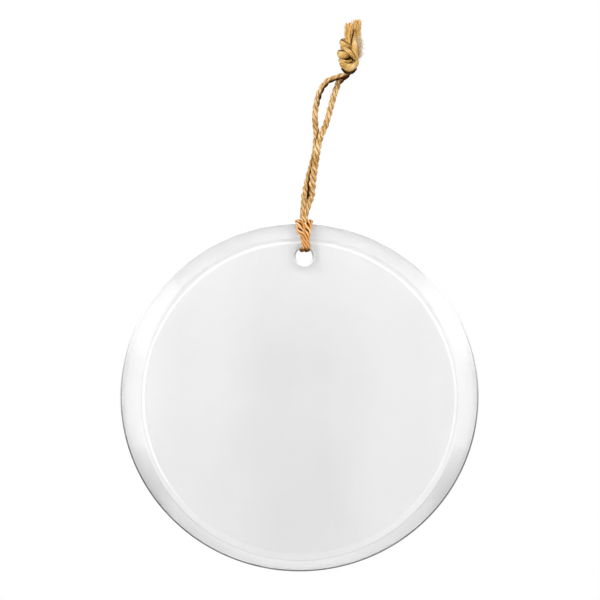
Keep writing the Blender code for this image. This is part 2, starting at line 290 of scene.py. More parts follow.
class Bench:
    """The node tree of a finish or of the world, and the nodes that are laid out in it."""

    def __init__(self, owner: bpy.types.Material | bpy.types.World) -> None:
        """Starts with an empty tree.

        Args:
            owner: the material or the world.
        """
        self.owner = owner
        owner.use_nodes = True
        self.tree = owner.node_tree
        self.tree.nodes.clear()

    @classmethod
    def of_finish(cls, name: str) -> "Bench":
        """The bench of a new finish."""
        return cls(bpy.data.materials.new(name))

    def node(
        self, kind: str, settings: dict[str, Any] | None = None,
        sockets: dict[Any, Any] | None = None, output: Any = 0,
    ) -> Wire:
        """Adds one node.

        Args:
            kind: the node's type.
            settings: its settings, set first; "stops" are a colour ramp's (place, colour) pairs.
            sockets: values or wires for its input sockets, by name or number.
            output: the output that is wanted, by name or number.

        Returns:
            The wire of that output.
        """
        made = self.tree.nodes.new(kind)
        for name, value in (settings or {}).items():
            if name == "stops":
                self._set_stops(made.color_ramp, value)
            else:
                setattr(made, name, value)
        for name, value in (sockets or {}).items():
            if isinstance(value, Wire):
                self.tree.links.new(value.socket, made.inputs[name])
            else:
                made.inputs[name].default_value = value
        return Wire(self, made.outputs[output])

    @staticmethod
    def _set_stops(ramp: Any, stops: list[tuple[float, Colour]]) -> None:
        """Gives a colour ramp its stops.

        Args:
            ramp: the colour ramp.
            stops: its (place, colour) pairs.
        """
        while len(ramp.elements) < len(stops):
            ramp.elements.new(1.0)
        for element, (place, colour) in zip(ramp.elements, stops):
            element.position = place
            element.color = (*colour, 1.0)

    def mix(self, factor: Any, first: Any, second: Any) -> Wire:
        """A colour between first and second.

        Args:
            factor: 0 gives first, 1 gives second.
            first: a colour or a wire.
            second: a colour or a wire.

        Returns:
            The mixed colour's wire.
        """
        pair = [value if isinstance(value, Wire) else (*value, 1.0) for value in (first, second)]
        return self.node(
            "ShaderNodeMix", {"data_type": "RGBA"},
            {"Factor": factor, 6: pair[0], 7: pair[1]}, output=2,
        )

    def place(self) -> Wire:
        """The place on the object, in metres."""
        return self.node("ShaderNodeTexCoord", output="Object")

    def axes(self, vector: Wire) -> list[Wire]:
        """A vector's X, Y and Z."""
        parts = self.node("ShaderNodeSeparateXYZ", {}, {"Vector": vector})
        return [Wire(self, output) for output in parts.socket.node.outputs]

    def ramp(self, value: Wire, stops: list[tuple[float, Colour]]) -> Wire:
        """The colour of a ramp at value."""
        return self.node("ShaderNodeValToRGB", {"stops": stops}, {"Fac": value})

    def grain(self, where: Wire, scale: Place, detail: float = 3.0, roughness: float = 0.6) -> Wire:
        """Noise that is stretched by a scale along each axis.

        Args:
            where: the coordinates.
            scale: cycles per unit along each axis.
            detail: the noise's octaves.
            roughness: how strong its finer octaves are.

        Returns:
            The noise's wire, about 0.5 in the mean.
        """
        stretched = self.node("ShaderNodeMapping", {}, {"Vector": where, "Scale": scale})
        return self.node(
            "ShaderNodeTexNoise", {},
            {"Vector": stretched, "Scale": 1.0, "Detail": detail, "Roughness": roughness},
        )

    def bump(self, height: Wire, depth: float, strength: float = 1.0) -> Wire:
        """A Bump node's normal, from a height of 0 to 1 and its depth in metres.

        Args:
            height: the height's wire, 0 to 1.
            depth: the height of 1, in metres.
            strength: how much of the bump is used.

        Returns:
            The normal's wire.
        """
        return self.node(
            "ShaderNodeBump", {}, {"Height": height, "Distance": depth, "Strength": strength}
        )

    def surface(self, **sockets: Any) -> bpy.types.Material:
        """Ends the tree in a Principled shader.

        Args:
            **sockets: its sockets, with underscores for spaces.

        Returns:
            The finished material.
        """
        named = {name.replace("_", " "): value for name, value in sockets.items()}
        self.end(self.node("ShaderNodeBsdfPrincipled", {}, named))
        return self.owner

    def end(self, shader: Wire, kind: str = "ShaderNodeOutputMaterial") -> None:
        """Links a shader to the tree's output, of this kind."""
        output = self.tree.nodes.new(kind)
        self.tree.links.new(shader.socket, output.inputs["Surface"])


# ---------------------------------------------------------------- finishes
@dataclass(frozen=True)
class PlyFinish:
    """Jute yarn: fine fibres along each ply, with painted shade in the grooves and where the mesh's shade attribute
    asks for it.
    """

    name: str
    dark: Colour
    middle: Colour
    light: Colour
    groove: Colour
    fibres_round: float = 22.0
    fibres_along: float = 0.45
    patches_round: float = 1.6
    patches_along: float = 0.35
    skew: float = 0.11
    groove_from: float = 0.38
    groove_to: float = 0.17
    depth: float = 0.00014

    def material(self) -> bpy.types.Material:
        """The finish for swept plies, whose UV map holds (part of a turn, millimetres along).

        Returns:
            The material.
        """
        bench = Bench.of_finish(self.name)
        around, along, _ = bench.axes(bench.node("ShaderNodeUVMap", {"uv_map": PLY_MAP}))
        skewed = bench.node("ShaderNodeCombineXYZ", {}, {"X": around + along * self.skew, "Y": along})
        fibres = bench.grain(skewed, (self.fibres_round, self.fibres_along, 1.0), 4.0, 0.65)
        patches = bench.grain(skewed, (self.patches_round, self.patches_along, 1.0), 2.0, 0.5)
        # painted shade: the grooves between plies take the dark groove colour
        outer = (around - 0.5).size().between(self.groove_from, self.groove_to)
        fibre_colour = bench.ramp(
            fibres * 0.72 + patches * 0.38 - 0.05,
            [(0.33, self.dark), (0.50, self.middle), (0.66, self.light)],
        )
        open_colour = bench.mix(outer, self.groove, fibre_colour)
        # painted shade: the shade attribute darkens the colour towards the groove colour
        shade = bench.node("ShaderNodeAttribute", {"attribute_name": SHADE}, output="Fac")
        height = fibres * 0.8 + patches * 0.2
        return bench.surface(
            Base_Color=bench.mix(shade, open_colour, self.groove), Roughness=0.94 - 0.22 * fibres,
            Normal=bench.bump(height, self.depth), Specular_IOR_Level=0.02,
        )


@dataclass(frozen=True)
class FibreFinish:
    """Loose jute fibres, on object coordinates."""

    name: str
    dark: Colour
    middle: Colour
    light: Colour
    grain: Place

    def material(self) -> bpy.types.Material:
        """The finish; its grain is in cycles per metre, low along the fibres.

        Returns:
            The material.
        """
        bench = Bench.of_finish(self.name)
        where = bench.place()
        fibres = bench.grain(where, self.grain, 4.0, 0.7)
        patches = bench.grain(where, (420.0, 420.0, 260.0), 2.0, 0.5)
        colour = bench.ramp(
            fibres * 0.62 + patches * 0.42 - 0.02,
            [(0.34, self.dark), (0.50, self.middle), (0.66, self.light)],
        )
        return bench.surface(
            Base_Color=colour, Roughness=0.95 - 0.2 * fibres, Normal=bench.bump(fibres, 0.00008),
            Specular_IOR_Level=0.02,
        )


@dataclass(frozen=True)
class GlassFinish:
    """Clear polished glass with the faint waviness of its polish."""

    name: str
    tint: Colour
    roughness: float
    roughness_change: float
    wave_depth: float

    def material(self) -> bpy.types.Material:
        """The finish for the disc's flat faces.

        Returns:
            The material.
        """
        bench = Bench.of_finish(self.name)
        where = bench.place()
        polish = bench.grain(where, (160.0, 160.0, 160.0), 3.0, 0.6)
        scuffs = bench.grain(where, (2600.0, 2600.0, 2600.0), 2.0, 0.7)
        roughness = self.roughness + self.roughness_change * scuffs.between(0.45, 0.75)
        return bench.surface(
            Base_Color=(*self.tint, 1.0), Roughness=roughness, IOR=GLASS_IOR, Transmission_Weight=1.0,
            Normal=bench.bump(polish, self.wave_depth, 0.3),
        )


@dataclass(frozen=True)
class GroundFinish:
    """Ground glass with painted shade: greyer towards one height, fading to its unshaded colour towards another."""

    name: str
    dusty: Colour
    dusty_z: float
    clean_z: float
    clearness: float = 0.55
    clean: Colour = (1.0, 1.0, 1.0)
    roughness: float = 0.35

    def material(self) -> bpy.types.Material:
        """The finish for the disc's rim or the bore's lip.

        Returns:
            The material.
        """
        bench = Bench.of_finish(self.name)
        where = bench.place()
        _, _, height = bench.axes(where)
        grit = bench.grain(where, (3200.0, 3200.0, 3200.0), 2.0, 0.7)
        # painted shade: darker towards one height, lighter towards another; the grit blurs the change
        share = (height - self.dusty_z) / (self.clean_z - self.dusty_z) + (grit - 0.5) * 0.2
        colour = bench.mix(share.between(0.0, 1.0), self.dusty, self.clean)
        return bench.surface(
            Base_Color=colour, Roughness=self.roughness + 0.3 * grit, IOR=GLASS_IOR,
            Transmission_Weight=self.clearness, Normal=bench.bump(grit, 0.00002, 0.5),
        )


@dataclass(frozen=True)
class BevelFinish:
    """The polished bevel, clear but for painted shade, grey at the top and low down on each side."""

    name: str
    clear: Colour
    shaded: Colour
    centre: Place
    reach: float
    roughness: float = 0.03

    def material(self) -> bpy.types.Material:
        """The finish, on object coordinates about the disc's centre.

        Returns:
            The material.
        """
        bench = Bench.of_finish(self.name)
        where = bench.place()
        x, _, z = bench.axes(where)
        side = (x - self.centre[0]) / self.reach
        height = (z - self.centre[2]) / self.reach
        scuffs = bench.grain(where, (1400.0, 1400.0, 1400.0), 2.0, 0.7)
        # painted shade: greyer low down, more so towards each side, and along the top
        flank = 0.62 + 0.38 * side.size().between(0.15, 0.72)
        shade = flank * height.between(-0.12, -0.62) + 0.60 * height.between(0.35, 0.85)
        return bench.surface(
            Base_Color=bench.mix(shade, self.clear, self.shaded),
            Roughness=self.roughness + 0.05 * scuffs.between(0.5, 0.8), IOR=GLASS_IOR,
            Transmission_Weight=1.0, Normal=bench.bump(scuffs, 0.00001, 0.3),
        )


@dataclass(frozen=True)
class FilmFinish:
    """The white coating on the glass's back, a little cloudy, with a fine grain, and painted shade that darkens its
    middle.
    """

    name: str
    white: Colour
    cloud: Colour
    centre: Place
    reach: float

    def material(self) -> bpy.types.Material:
        """The finish, on object coordinates about the disc's centre.

        Returns:
            The material.
        """
        bench = Bench.of_finish(self.name)
        where = bench.place()
        centred = bench.node(
            "ShaderNodeMapping", {"vector_type": "TEXTURE"},
            {"Vector": where, "Location": self.centre, "Scale": (self.reach, self.reach, self.reach)},
        )
        side, _, height = bench.axes(centred)
        clouds = bench.grain(where, (45.0, 45.0, 30.0), 3.0, 0.55)
        speckle = bench.grain(where, (1900.0, 1900.0, 1900.0), 2.0, 0.6)
        # painted shade: a darker zone down the middle, beside the random cloudy tone and speckle
        middle = side.size().between(0.62, 0.05) * height.between(0.75, 0.1)
        shade = middle * 0.55 + (clouds - 0.5) * 0.9 + (speckle - 0.5) * 0.55
        colour = bench.mix(shade.between(-0.35, 0.95), self.white, self.cloud)
        return bench.surface(
            Base_Color=colour, Roughness=0.42 + 0.2 * speckle, Normal=bench.bump(speckle, 0.00001),
        )


# the loop's strands and neck
STRAW_JUTE = PlyFinish(
    "straw_jute", dark=(0.19, 0.075, 0.008), middle=(0.56, 0.33, 0.115), light=(1.0, 0.80, 0.54),
    groove=(0.045, 0.012, 0.001),
)
# the hitch, pressed against the glass
RUST_JUTE = PlyFinish(
    "rust_jute", dark=(0.36, 0.11, 0.012), middle=(0.72, 0.35, 0.105), light=(1.0, 0.84, 0.58),
    groove=(0.09, 0.015, 0.001), fibres_round=10.0, groove_from=0.30, groove_to=0.13,
)
# the knot's folds, and the near-black painted shadow seen between them
FOLDED_JUTE = PlyFinish(
    "folded_jute", dark=(0.24, 0.11, 0.018), middle=(0.63, 0.38, 0.115), light=(1.0, 0.80, 0.50),
    groove=(0.06, 0.022, 0.003), fibres_round=44.0, fibres_along=0.6, groove_from=0.5, groove_to=0.4,
    depth=0.0003,
)
KNOT_CORE_SHADOW = FibreFinish(
    "knot_core", dark=(0.010, 0.004, 0.001), middle=(0.03, 0.013, 0.003), light=(0.08, 0.035, 0.008),
    grain=(1500.0, 1500.0, 600.0),
)
# the frayed ends, and the palest loose fibres
RAVELLED_JUTE = FibreFinish(
    "ravelled_jute", dark=(0.42, 0.19, 0.026), middle=(0.72, 0.44, 0.13), light=(1.0, 0.78, 0.50),
    grain=(3200.0, 3200.0, 420.0),
)
PALE_FUZZ = FibreFinish(
    "pale_fuzz", dark=(0.45, 0.32, 0.18), middle=(0.64, 0.49, 0.31), light=(0.82, 0.68, 0.50),
    grain=(1500.0, 1500.0, 700.0),
)


# ---------------------------------------------------------------- making meshes
@dataclass
class Station:
    """One cross-section on a cord's line: its place, its two axes and how it is squeezed."""

    place: Vector
    side: Vector
    front: Vector
    along: float
    wide: float = 1.0
    deep: float = 1.0

    def at(self, x: float, y: float) -> Vector:
        """The point that lies x to the side and y to the front, squeezed."""
        return self.place + self.side * (x * self.wide) + self.front * (y * self.deep)


def smooth_route(points: list[Any], spacing: float) -> list[Vector]:
    """Points at an even spacing on the Catmull-Rom curve through a route's own points.

    Args:
        points: the route's points.
        spacing: the distance wanted between the new points, in metres.

    Returns:
        The new points, with the first and the last kept.
    """
    route = [Vector(point) for point in points]
    padded = [2 * route[0] - route[1], *route, 2 * route[-1] - route[-2]]
    steps = 24
    fine: list[Vector] = []
    for before, start, end, after in zip(padded, padded[1:], padded[2:], padded[3:]):
        for step in range(steps):
            t = step / steps
            fine.append(0.5 * (
                2 * start
                + (end - before) * t
                + (2 * before - 5 * start + 4 * end - after) * t**2
                + (3 * start - before - 3 * end + after) * t**3
            ))
    fine.append(route[-1])
    travelled = [0.0]
    for start, end in zip(fine, fine[1:]):
        travelled.append(travelled[-1] + (end - start).length)
    count = max(2, round(travelled[-1] / spacing))
    even: list[Vector] = []
    index = 0
    for number in range(count + 1):
        target = travelled[-1] * number / count
        while index < len(fine) - 2 and travelled[index + 1] < target:
            index += 1
        span = max(travelled[index + 1] - travelled[index], 1e-12)
        even.append(fine[index].lerp(fine[index + 1], min(1.0, (target - travelled[index]) / span)))
    return even


def length_of(points: list[Vector]) -> float:
    """The length of a line of points."""
    return sum((end - start).length for start, end in zip(points, points[1:]))


def stations_on(points: list[Vector], first_side: Vector = Vector((1.0, 0.0, 0.0))) -> list[Station]:
    """Cross-sections along a line, turning with it and never about it.

    Args:
        points: the line.
        first_side: the side axis at its start.

    Returns:
        One station for each point.
    """
    stations: list[Station] = []
    side = first_side.copy()
    travelled = 0.0
    for number, place in enumerate(points):
        before = points[max(0, number - 1)]
        after = points[min(len(points) - 1, number + 1)]
        tangent = (after - before).normalized()
        side = (side - tangent * side.dot(tangent)).normalized()
        if number:
            travelled += (place - before).length
        stations.append(Station(place.copy(), side.copy(), tangent.cross(side), travelled))
    return stations


def swept(rings: list[tuple[Matrix, float]], segments: int) -> bmesh.types.BMesh:
    """A tube extruded ring by ring, with closed ends and a UV map of (part of a turn, mm along).

    Args:
        rings: each ring's matrix, which carries the unit circle to its place, and its length along.
        segments: the ring's number of sides.

    Returns:
        The tube as a new bmesh.
    """
    bm = bmesh.new()
    around = bm.verts.layers.float.new("around")
    along = bm.verts.layers.float.new("along")
    first, start = rings[0]
    made = bmesh.ops.create_circle(bm, segments=segments, radius=1.0)
    for vert in made["verts"]:
        vert[around] = (math.atan2(vert.co.y, vert.co.x) / math.tau) % 1.0
        vert[along] = start
    bmesh.ops.transform(bm, matrix=first, verts=made["verts"])
    edges = bm.edges[:]
    bmesh.ops.contextual_create(bm, geom=edges)
    for (matrix, travelled), (previous, _) in zip(rings[1:], rings):
        grown = bmesh.ops.extrude_edge_only(bm, edges=edges)["geom"]
        verts = [item for item in grown if isinstance(item, bmesh.types.BMVert)]
        edges = [item for item in grown if isinstance(item, bmesh.types.BMEdge)]
        for vert in verts:
            vert[along] = travelled
        bmesh.ops.transform(bm, matrix=matrix @ previous.inverted(), verts=verts)
    bmesh.ops.contextual_create(bm, geom=edges)
    uv_layer = bm.loops.layers.uv.new(PLY_MAP)
    for face in bm.faces:
        turns = [loop.vert[around] for loop in face.loops]
        wraps = max(turns) - min(turns) > 0.5
        for loop, turn in zip(face.loops, turns):
            loop[uv_layer].uv = (turn + (1.0 if wraps and turn < 0.5 else 0.0), loop.vert[along] / MM)
    bmesh.ops.recalc_face_normals(bm, faces=bm.faces[:])
    return bm


def join(parts: list[bmesh.types.BMesh], name: str) -> bpy.types.Mesh:
    """One smooth mesh of several bmeshes, which are freed.

    Args:
        parts: the bmeshes.
        name: the mesh's name.

    Returns:
        The mesh.
    """
    total = bmesh.new()
    for part in parts:
        passing = bpy.data.meshes.new("passing")
        part.to_mesh(passing)
        part.free()
        total.from_mesh(passing)
        bpy.data.meshes.remove(passing)
    mesh = bpy.data.meshes.new(name)
    total.to_mesh(mesh)
    total.free()
    mesh.shade_smooth()
    return mesh


def darken(mesh: bpy.types.Mesh, shade: Callable[[Vector], float]) -> None:
    """Stores how much painted shade each point of a mesh gets, 0 to 1, for the twine's finish to read.

    Args:
        mesh: the mesh.
        shade: gives the darkness at a place.
    """
    values = [shade(vert.co) for vert in mesh.vertices]
    mesh.attributes.new(SHADE, "FLOAT", "POINT").data.foreach_set("value", values)


def line_tree(points: list[Vector]) -> KDTree:
    """A tree that finds the point of a line that is nearest to a place.

    Args:
        points: the line.

    Returns:
        The tree, ready to search.
    """
    tree = KDTree(len(points))
    for number, point in enumerate(points):
        tree.insert(point, number)
    tree.balance()
    return tree


def place_piece(name: str, mesh: bpy.types.Mesh, *materials: bpy.types.Material) -> bpy.types.Object:
    """An object at the origin with this mesh and these materials, reported in the log.

    Args:
        name: the piece's name.
        mesh: its mesh, in place.
        *materials: its slots' materials, in order.

    Returns:
        The object.
    """
    piece = bpy.data.objects.new(name, mesh)
    bpy.context.scene.collection.objects.link(piece)
    for material in materials:
        mesh.materials.append(material)
    log.info("%s: %d faces", name, len(mesh.polygons))
    return piece


# ---------------------------------------------------------------- layout
@dataclass(frozen=True)
class Layout:
    """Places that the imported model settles: the glass's faces, its hole, and the neck's joints."""

    front_y: float
    glass_back_y: float
    film_front_y: float
    back_y: float
    disc: Vector
    half_width: float
    half_height: float
    twist: Vector
    fold: Vector
    swing: Vector
    twine_line: Vector

    @classmethod
    def read(cls) -> "Layout":
        """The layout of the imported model.

        Returns:
            The places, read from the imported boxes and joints.
        """
        glass_low, glass_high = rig.box("glass_disc")
        film_low, film_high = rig.box("back_coating")
        joints = {joint["name"]: joint for joint in frame["joints"]}
        return cls(
            front_y=glass_low.y, glass_back_y=glass_high.y,
            film_front_y=film_low.y, back_y=film_high.y,
            disc=(glass_low + glass_high) / 2,
            half_width=(glass_high.x - glass_low.x) / 2,
            half_height=(glass_high.z - glass_low.z) / 2,
            twist=Vector(joints["twine_twist"]["pos_m"]),
            fold=Vector(joints["pendant_fold"]["pos_m"]),
            swing=Vector(joints["pendant_swing"]["pos_m"]),
            twine_line=Vector(joints["twine_twist"]["axis"]).normalized(),
        )

    @property
    def rim_top_z(self) -> float:
        """The height of the glass's top edge."""
        return self.disc.z + self.half_height

    @property
    def twine_across(self) -> Vector:
        """The way across the twine's line, to the right."""
        return Vector((self.twine_line.z, 0.0, -self.twine_line.x))


# ---------------------------------------------------------------- the disc
class Surface(Enum):
    """The glass's surfaces, in the order of its material slots."""

    FACE = 0
    RIM = 1
    LIP = 2
    BEVEL = 3
    WALL = 4


@dataclass
class GlassDisc:
    """The bevelled glass blank with its hanging hole, and the white film behind it."""

    layout: Layout
    rim_thickness: float = 0.0020
    rim_arris: float = 0.0002
    bevel_side: float = 0.00555
    bevel_top: float = 0.00515
    bevel_bottom: float = 0.00375
    crease_width: float = 0.0020
    ground_width: float = 0.00015
    crease_steps: int = 8
    flat_margin: float = 0.0003
    film_inset: float = 0.00005
    film_rounding: float = 0.0001
    hole_radius: float = 0.0021
    hole_to_rim: float = 0.0085
    hole_chamfer: float = 0.0006
    segments: int = 192
    hole_segments: int = 64
    sharp_angle: float = math.radians(24)
    cut_past: float = 0.001
    flat_facing: float = 0.9
    rim_facing: float = -0.2
    bevel_facing: float = -0.5

    @property
    def hole(self) -> Vector:
        """The hanging hole's centre."""
        return Vector((self.layout.swing.x, 0.0, self.layout.rim_top_z - self.hole_to_rim))

    @property
    def face_height(self) -> float:
        """Half the flat face's height."""
        return self.layout.half_height - (self.bevel_top + self.bevel_bottom) / 2

    @property
    def face_width(self) -> float:
        """Half the flat face's width."""
        return self.layout.half_width - self.bevel_side

    @property
    def face_z(self) -> float:
        """The flat face's centre height, lower than the disc's."""
        return self.layout.disc.z - (self.bevel_top - self.bevel_bottom) / 2

    def _oval(self, width: float, height: float, y: float, z: float) -> Matrix:
        """The matrix that carries a unit circle to an upright oval.

        Args:
            width: half the oval's width.
            height: half its height.
            y: its depth.
            z: its centre's height.

        Returns:
            The matrix.
        """
        turn = Matrix.Rotation(math.pi / 2, 4, "X")
        shape = Matrix.Diagonal((width, height, min(width, height), 1.0))
        return Matrix.Translation((self.layout.disc.x, y, z)) @ turn @ shape

    def _outline(self, inset: float, y: float) -> Matrix:
        """The matrix of a ring that lies this far inside the disc's edge."""
        lay = self.layout
        return self._oval(lay.half_width - inset, lay.half_height - inset, y, lay.disc.z)

    def _rings(self) -> list[Matrix]:
        """The glass's outline rings, from the front face's centre over the rim to the back's.

        Returns:
            One matrix for each ring.
        """
        lay = self.layout
        rim_front_y = lay.glass_back_y - self.rim_thickness
        drop = rim_front_y - lay.front_y
        wide, high = self.face_width, self.face_height
        half = self.crease_width / 2
        margin = half + self.flat_margin
        rings = [self._oval(wide - margin, high - margin, lay.front_y, self.face_z)]
        for step in range(self.crease_steps + 1):
            share = step / self.crease_steps
            grown = half * (2 * share - 1)
            sunk = drop * (half * share**2 / self.bevel_side)
            slide = share * half * (lay.disc.z - self.face_z) / self.bevel_side
            rings.append(self._oval(wide + grown, high + grown, lay.front_y + sunk, self.face_z + slide))
        arris, ground = self.rim_arris, self.ground_width
        lift = drop * ground / self.bevel_side
        rings += [
            self._outline(arris + ground, rim_front_y - lift),
            self._outline(arris, rim_front_y),
            self._outline(arris / 3, rim_front_y + arris / 3),
            self._outline(0.0, rim_front_y + arris),
            self._outline(0.0, lay.glass_back_y - arris),
            self._outline(arris / 3, lay.glass_back_y - arris / 3),
            self._outline(arris, lay.glass_back_y),
            self._outline(arris * 4, lay.glass_back_y),
        ]
        return rings

    def _plug(self, stations: list[tuple[float, float]]) -> bpy.types.Mesh:
        """A turned cutter through the hole, from (y, radius) stations.

        Args:
            stations: the cutter's (y, radius) pairs, front to back.

        Returns:
            The cutter's mesh.
        """
        turn = Matrix.Rotation(math.pi / 2, 4, "X")
        rings = []
        for y, radius in stations:
            place = Matrix.Translation((self.hole.x, y, self.hole.z))
            rings.append((place @ turn @ Matrix.Diagonal((radius, radius, radius, 1.0)), y))
        return join([swept(rings, self.hole_segments)], "plug")

    def _drilled(self, name: str, mesh: bpy.types.Mesh, plug: bpy.types.Mesh) -> bpy.types.Mesh:
        """The mesh with the plug's shape taken out of it.

        Args:
            name: the finished mesh's name.
            mesh: the blank.
            plug: the cutter.

        Returns:
            The drilled mesh, smooth, with its sharp edges kept.
        """
        blank = bpy.data.objects.new("blank", mesh)
        cutter = bpy.data.objects.new("cutter", plug)
        for item in (blank, cutter):
            bpy.context.scene.collection.objects.link(item)
        cut = blank.modifiers.new("hole", "BOOLEAN")
        cut.operation = "DIFFERENCE"
        cut.solver = "EXACT"
        cut.object = cutter
        drilled = bpy.data.meshes.new_from_object(
            blank.evaluated_get(bpy.context.evaluated_depsgraph_get())
        )
        for item in (blank, cutter):
            bpy.data.objects.remove(item)
        drilled.name = name
        drilled.shade_smooth()
        drilled.set_sharp_from_angle(angle=self.sharp_angle)
        return drilled

    def _share_out(self, place: Vector, wide: float, high: float, z: float) -> float:
        """How far out a place lies, as a share of an upright oval's size."""
        return math.hypot((place.x - self.layout.disc.x) / wide, (place.z - z) / high)

    def _surface_of(self, polygon: bpy.types.MeshPolygon) -> Surface:
        """Which of the glass's surfaces a face belongs to.

        Args:
            polygon: the face.

        Returns:
            The surface.
        """
        lay = self.layout
        place, facing = polygon.center, polygon.normal.y
        from_hole = place - self.hole
        outwards = self._share_out(place, lay.half_width, lay.half_height, lay.disc.z)
        crease = self._share_out(place, self.face_width, self.face_height, self.face_z)
        ground_from = 1.0 - (self.rim_arris + self.ground_width) / lay.half_width
        bevel_from = 1.0 + self.crease_width / 2 / self.face_width
        lip_radius = self.hole_radius + self.hole_chamfer / 2
        if outwards > ground_from and facing < self.flat_facing:
            return Surface.RIM if facing < self.rim_facing else Surface.WALL
        if math.hypot(from_hole.x, from_hole.z) < lip_radius and abs(facing) < self.flat_facing:
            return Surface.LIP
        if crease > bevel_from and facing < self.bevel_facing:
            return Surface.BEVEL
        return Surface.FACE

    def build_glass(self, finishes: dict[Surface, bpy.types.Material]) -> bpy.types.Object:
        """The glass, with its rim and the hole's lip ground.

        Args:
            finishes: the finish of each surface.

        Returns:
            The piece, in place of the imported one.
        """
        lay = self.layout
        rings = [(matrix, 0.0) for matrix in self._rings()]
        blank = join([swept(rings, self.segments)], "blank")
        chamfer, reach, round_off = self.hole_chamfer, self.cut_past, self.hole_chamfer / 3
        plug = self._plug([
            (lay.front_y - reach, self.hole_radius + chamfer + reach),
            (lay.front_y + round_off, self.hole_radius + chamfer - round_off),
            (lay.front_y + chamfer, self.hole_radius + round_off / 3),
            (lay.front_y + chamfer + round_off, self.hole_radius),
            (lay.glass_back_y - chamfer / 2, self.hole_radius),
            (lay.glass_back_y + reach, self.hole_radius + chamfer / 2 + reach),
        ])
        mesh = self._drilled("glass", blank, plug)
        piece = place_piece("bevelled_glass", mesh, *(finishes[surface] for surface in Surface))
        for polygon in mesh.polygons:
            polygon.material_index = self._surface_of(polygon).value
        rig.replaces(piece, "glass_disc")
        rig.slot(piece, "glass")
        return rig.ride(piece, "pendant")

    def build_film(self, white: bpy.types.Material) -> bpy.types.Object:
        """The white film, with a soft edge, cut back round the hole.

        Args:
            white: its finish.

        Returns:
            The piece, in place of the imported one.
        """
        lay = self.layout
        edge, soft = self.rim_arris + self.film_inset, self.film_rounding
        rings = [
            self._outline(edge + 3 * soft, lay.film_front_y),
            self._outline(edge + soft, lay.film_front_y),
            self._outline(edge, lay.film_front_y + soft),
            self._outline(edge, lay.back_y - soft),
            self._outline(edge + soft, lay.back_y),
            self._outline(edge + 3 * soft, lay.back_y),
        ]
        blank = join([swept([(matrix, 0.0) for matrix in rings], self.segments)], "blank")
        radius = self.hole_radius + self.hole_chamfer
        ends = (lay.film_front_y - self.cut_past, lay.back_y + self.cut_past)
        plug = self._plug([(y, radius) for y in ends])
        piece = place_piece("white_film", self._drilled("film", blank, plug), white)
        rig.replaces(piece, "back_coating")
        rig.slot(piece, "coating")
        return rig.ride(piece, "pendant")


# ---------------------------------------------------------------- twisted cord
@dataclass
class TwistedCord:
    """Plies laid round each other along a line; S-laid, so its marks lean to the left."""

    diameter: float
    pitch: float
    plies: int = 3
    sides: int = 12
    ply_share: float = 0.50
    seed: int = 3
    lumps: float = 0.07
    lumps_each_mm: float = 1.9
    wander: float = 0.05
    wander_each_mm: float = 2.7

    def ply(self, stations: list[Station], number: int) -> bmesh.types.BMesh:
        """One ply through the stations, its seam towards the cord's middle.

        Args:
            stations: the cord's cross-sections.
            number: which ply.

        Returns:
            The ply as a bmesh.
        """
        radius = self.diameter / 2 * self.ply_share
        offset = self.diameter / 2 - radius
        rings = []
        for station in stations:
            angle = math.tau * (number / self.plies - station.along / self.pitch)
            along = station.along / MM
            lump = 1.0 + self.lumps * math.sin(along * self.lumps_each_mm + number * 2.3 + self.seed)
            wander = self.wander * math.sin(along * self.wander_each_mm + number + self.seed)
            reach = offset * (1.0 + wander)
            centre = station.at(math.cos(angle) * reach, math.sin(angle) * reach)
            inward = (station.place - centre).normalized()
            tangent = station.side.cross(station.front)
            across = tangent.cross(inward).normalized()
            size = radius * lump
            wide = size * (1.0 + (station.wide - 1.0) * abs(inward.dot(station.side)))
            flank = size * (1.0 + (station.wide - 1.0) * abs(across.dot(station.side)))
            deep = 1.0 + (station.deep - 1.0) * abs(inward.dot(station.front))
            matrix = Matrix((inward * wide * deep, across * flank, tangent * size)).transposed().to_4x4()
            matrix.translation = centre
            rings.append((matrix, station.along))
        return swept(rings, self.sides)

    def mesh(self, stations: list[Station], name: str) -> bpy.types.Mesh:
        """All the plies as one mesh."""
        return join([self.ply(stations, number) for number in range(self.plies)], name)


@dataclass(frozen=True)
class Squeeze:
    """How wide and deep a cord is pressed at a height over the rim, as shares of its diameter."""

    height: float
    wide: float
    deep: float


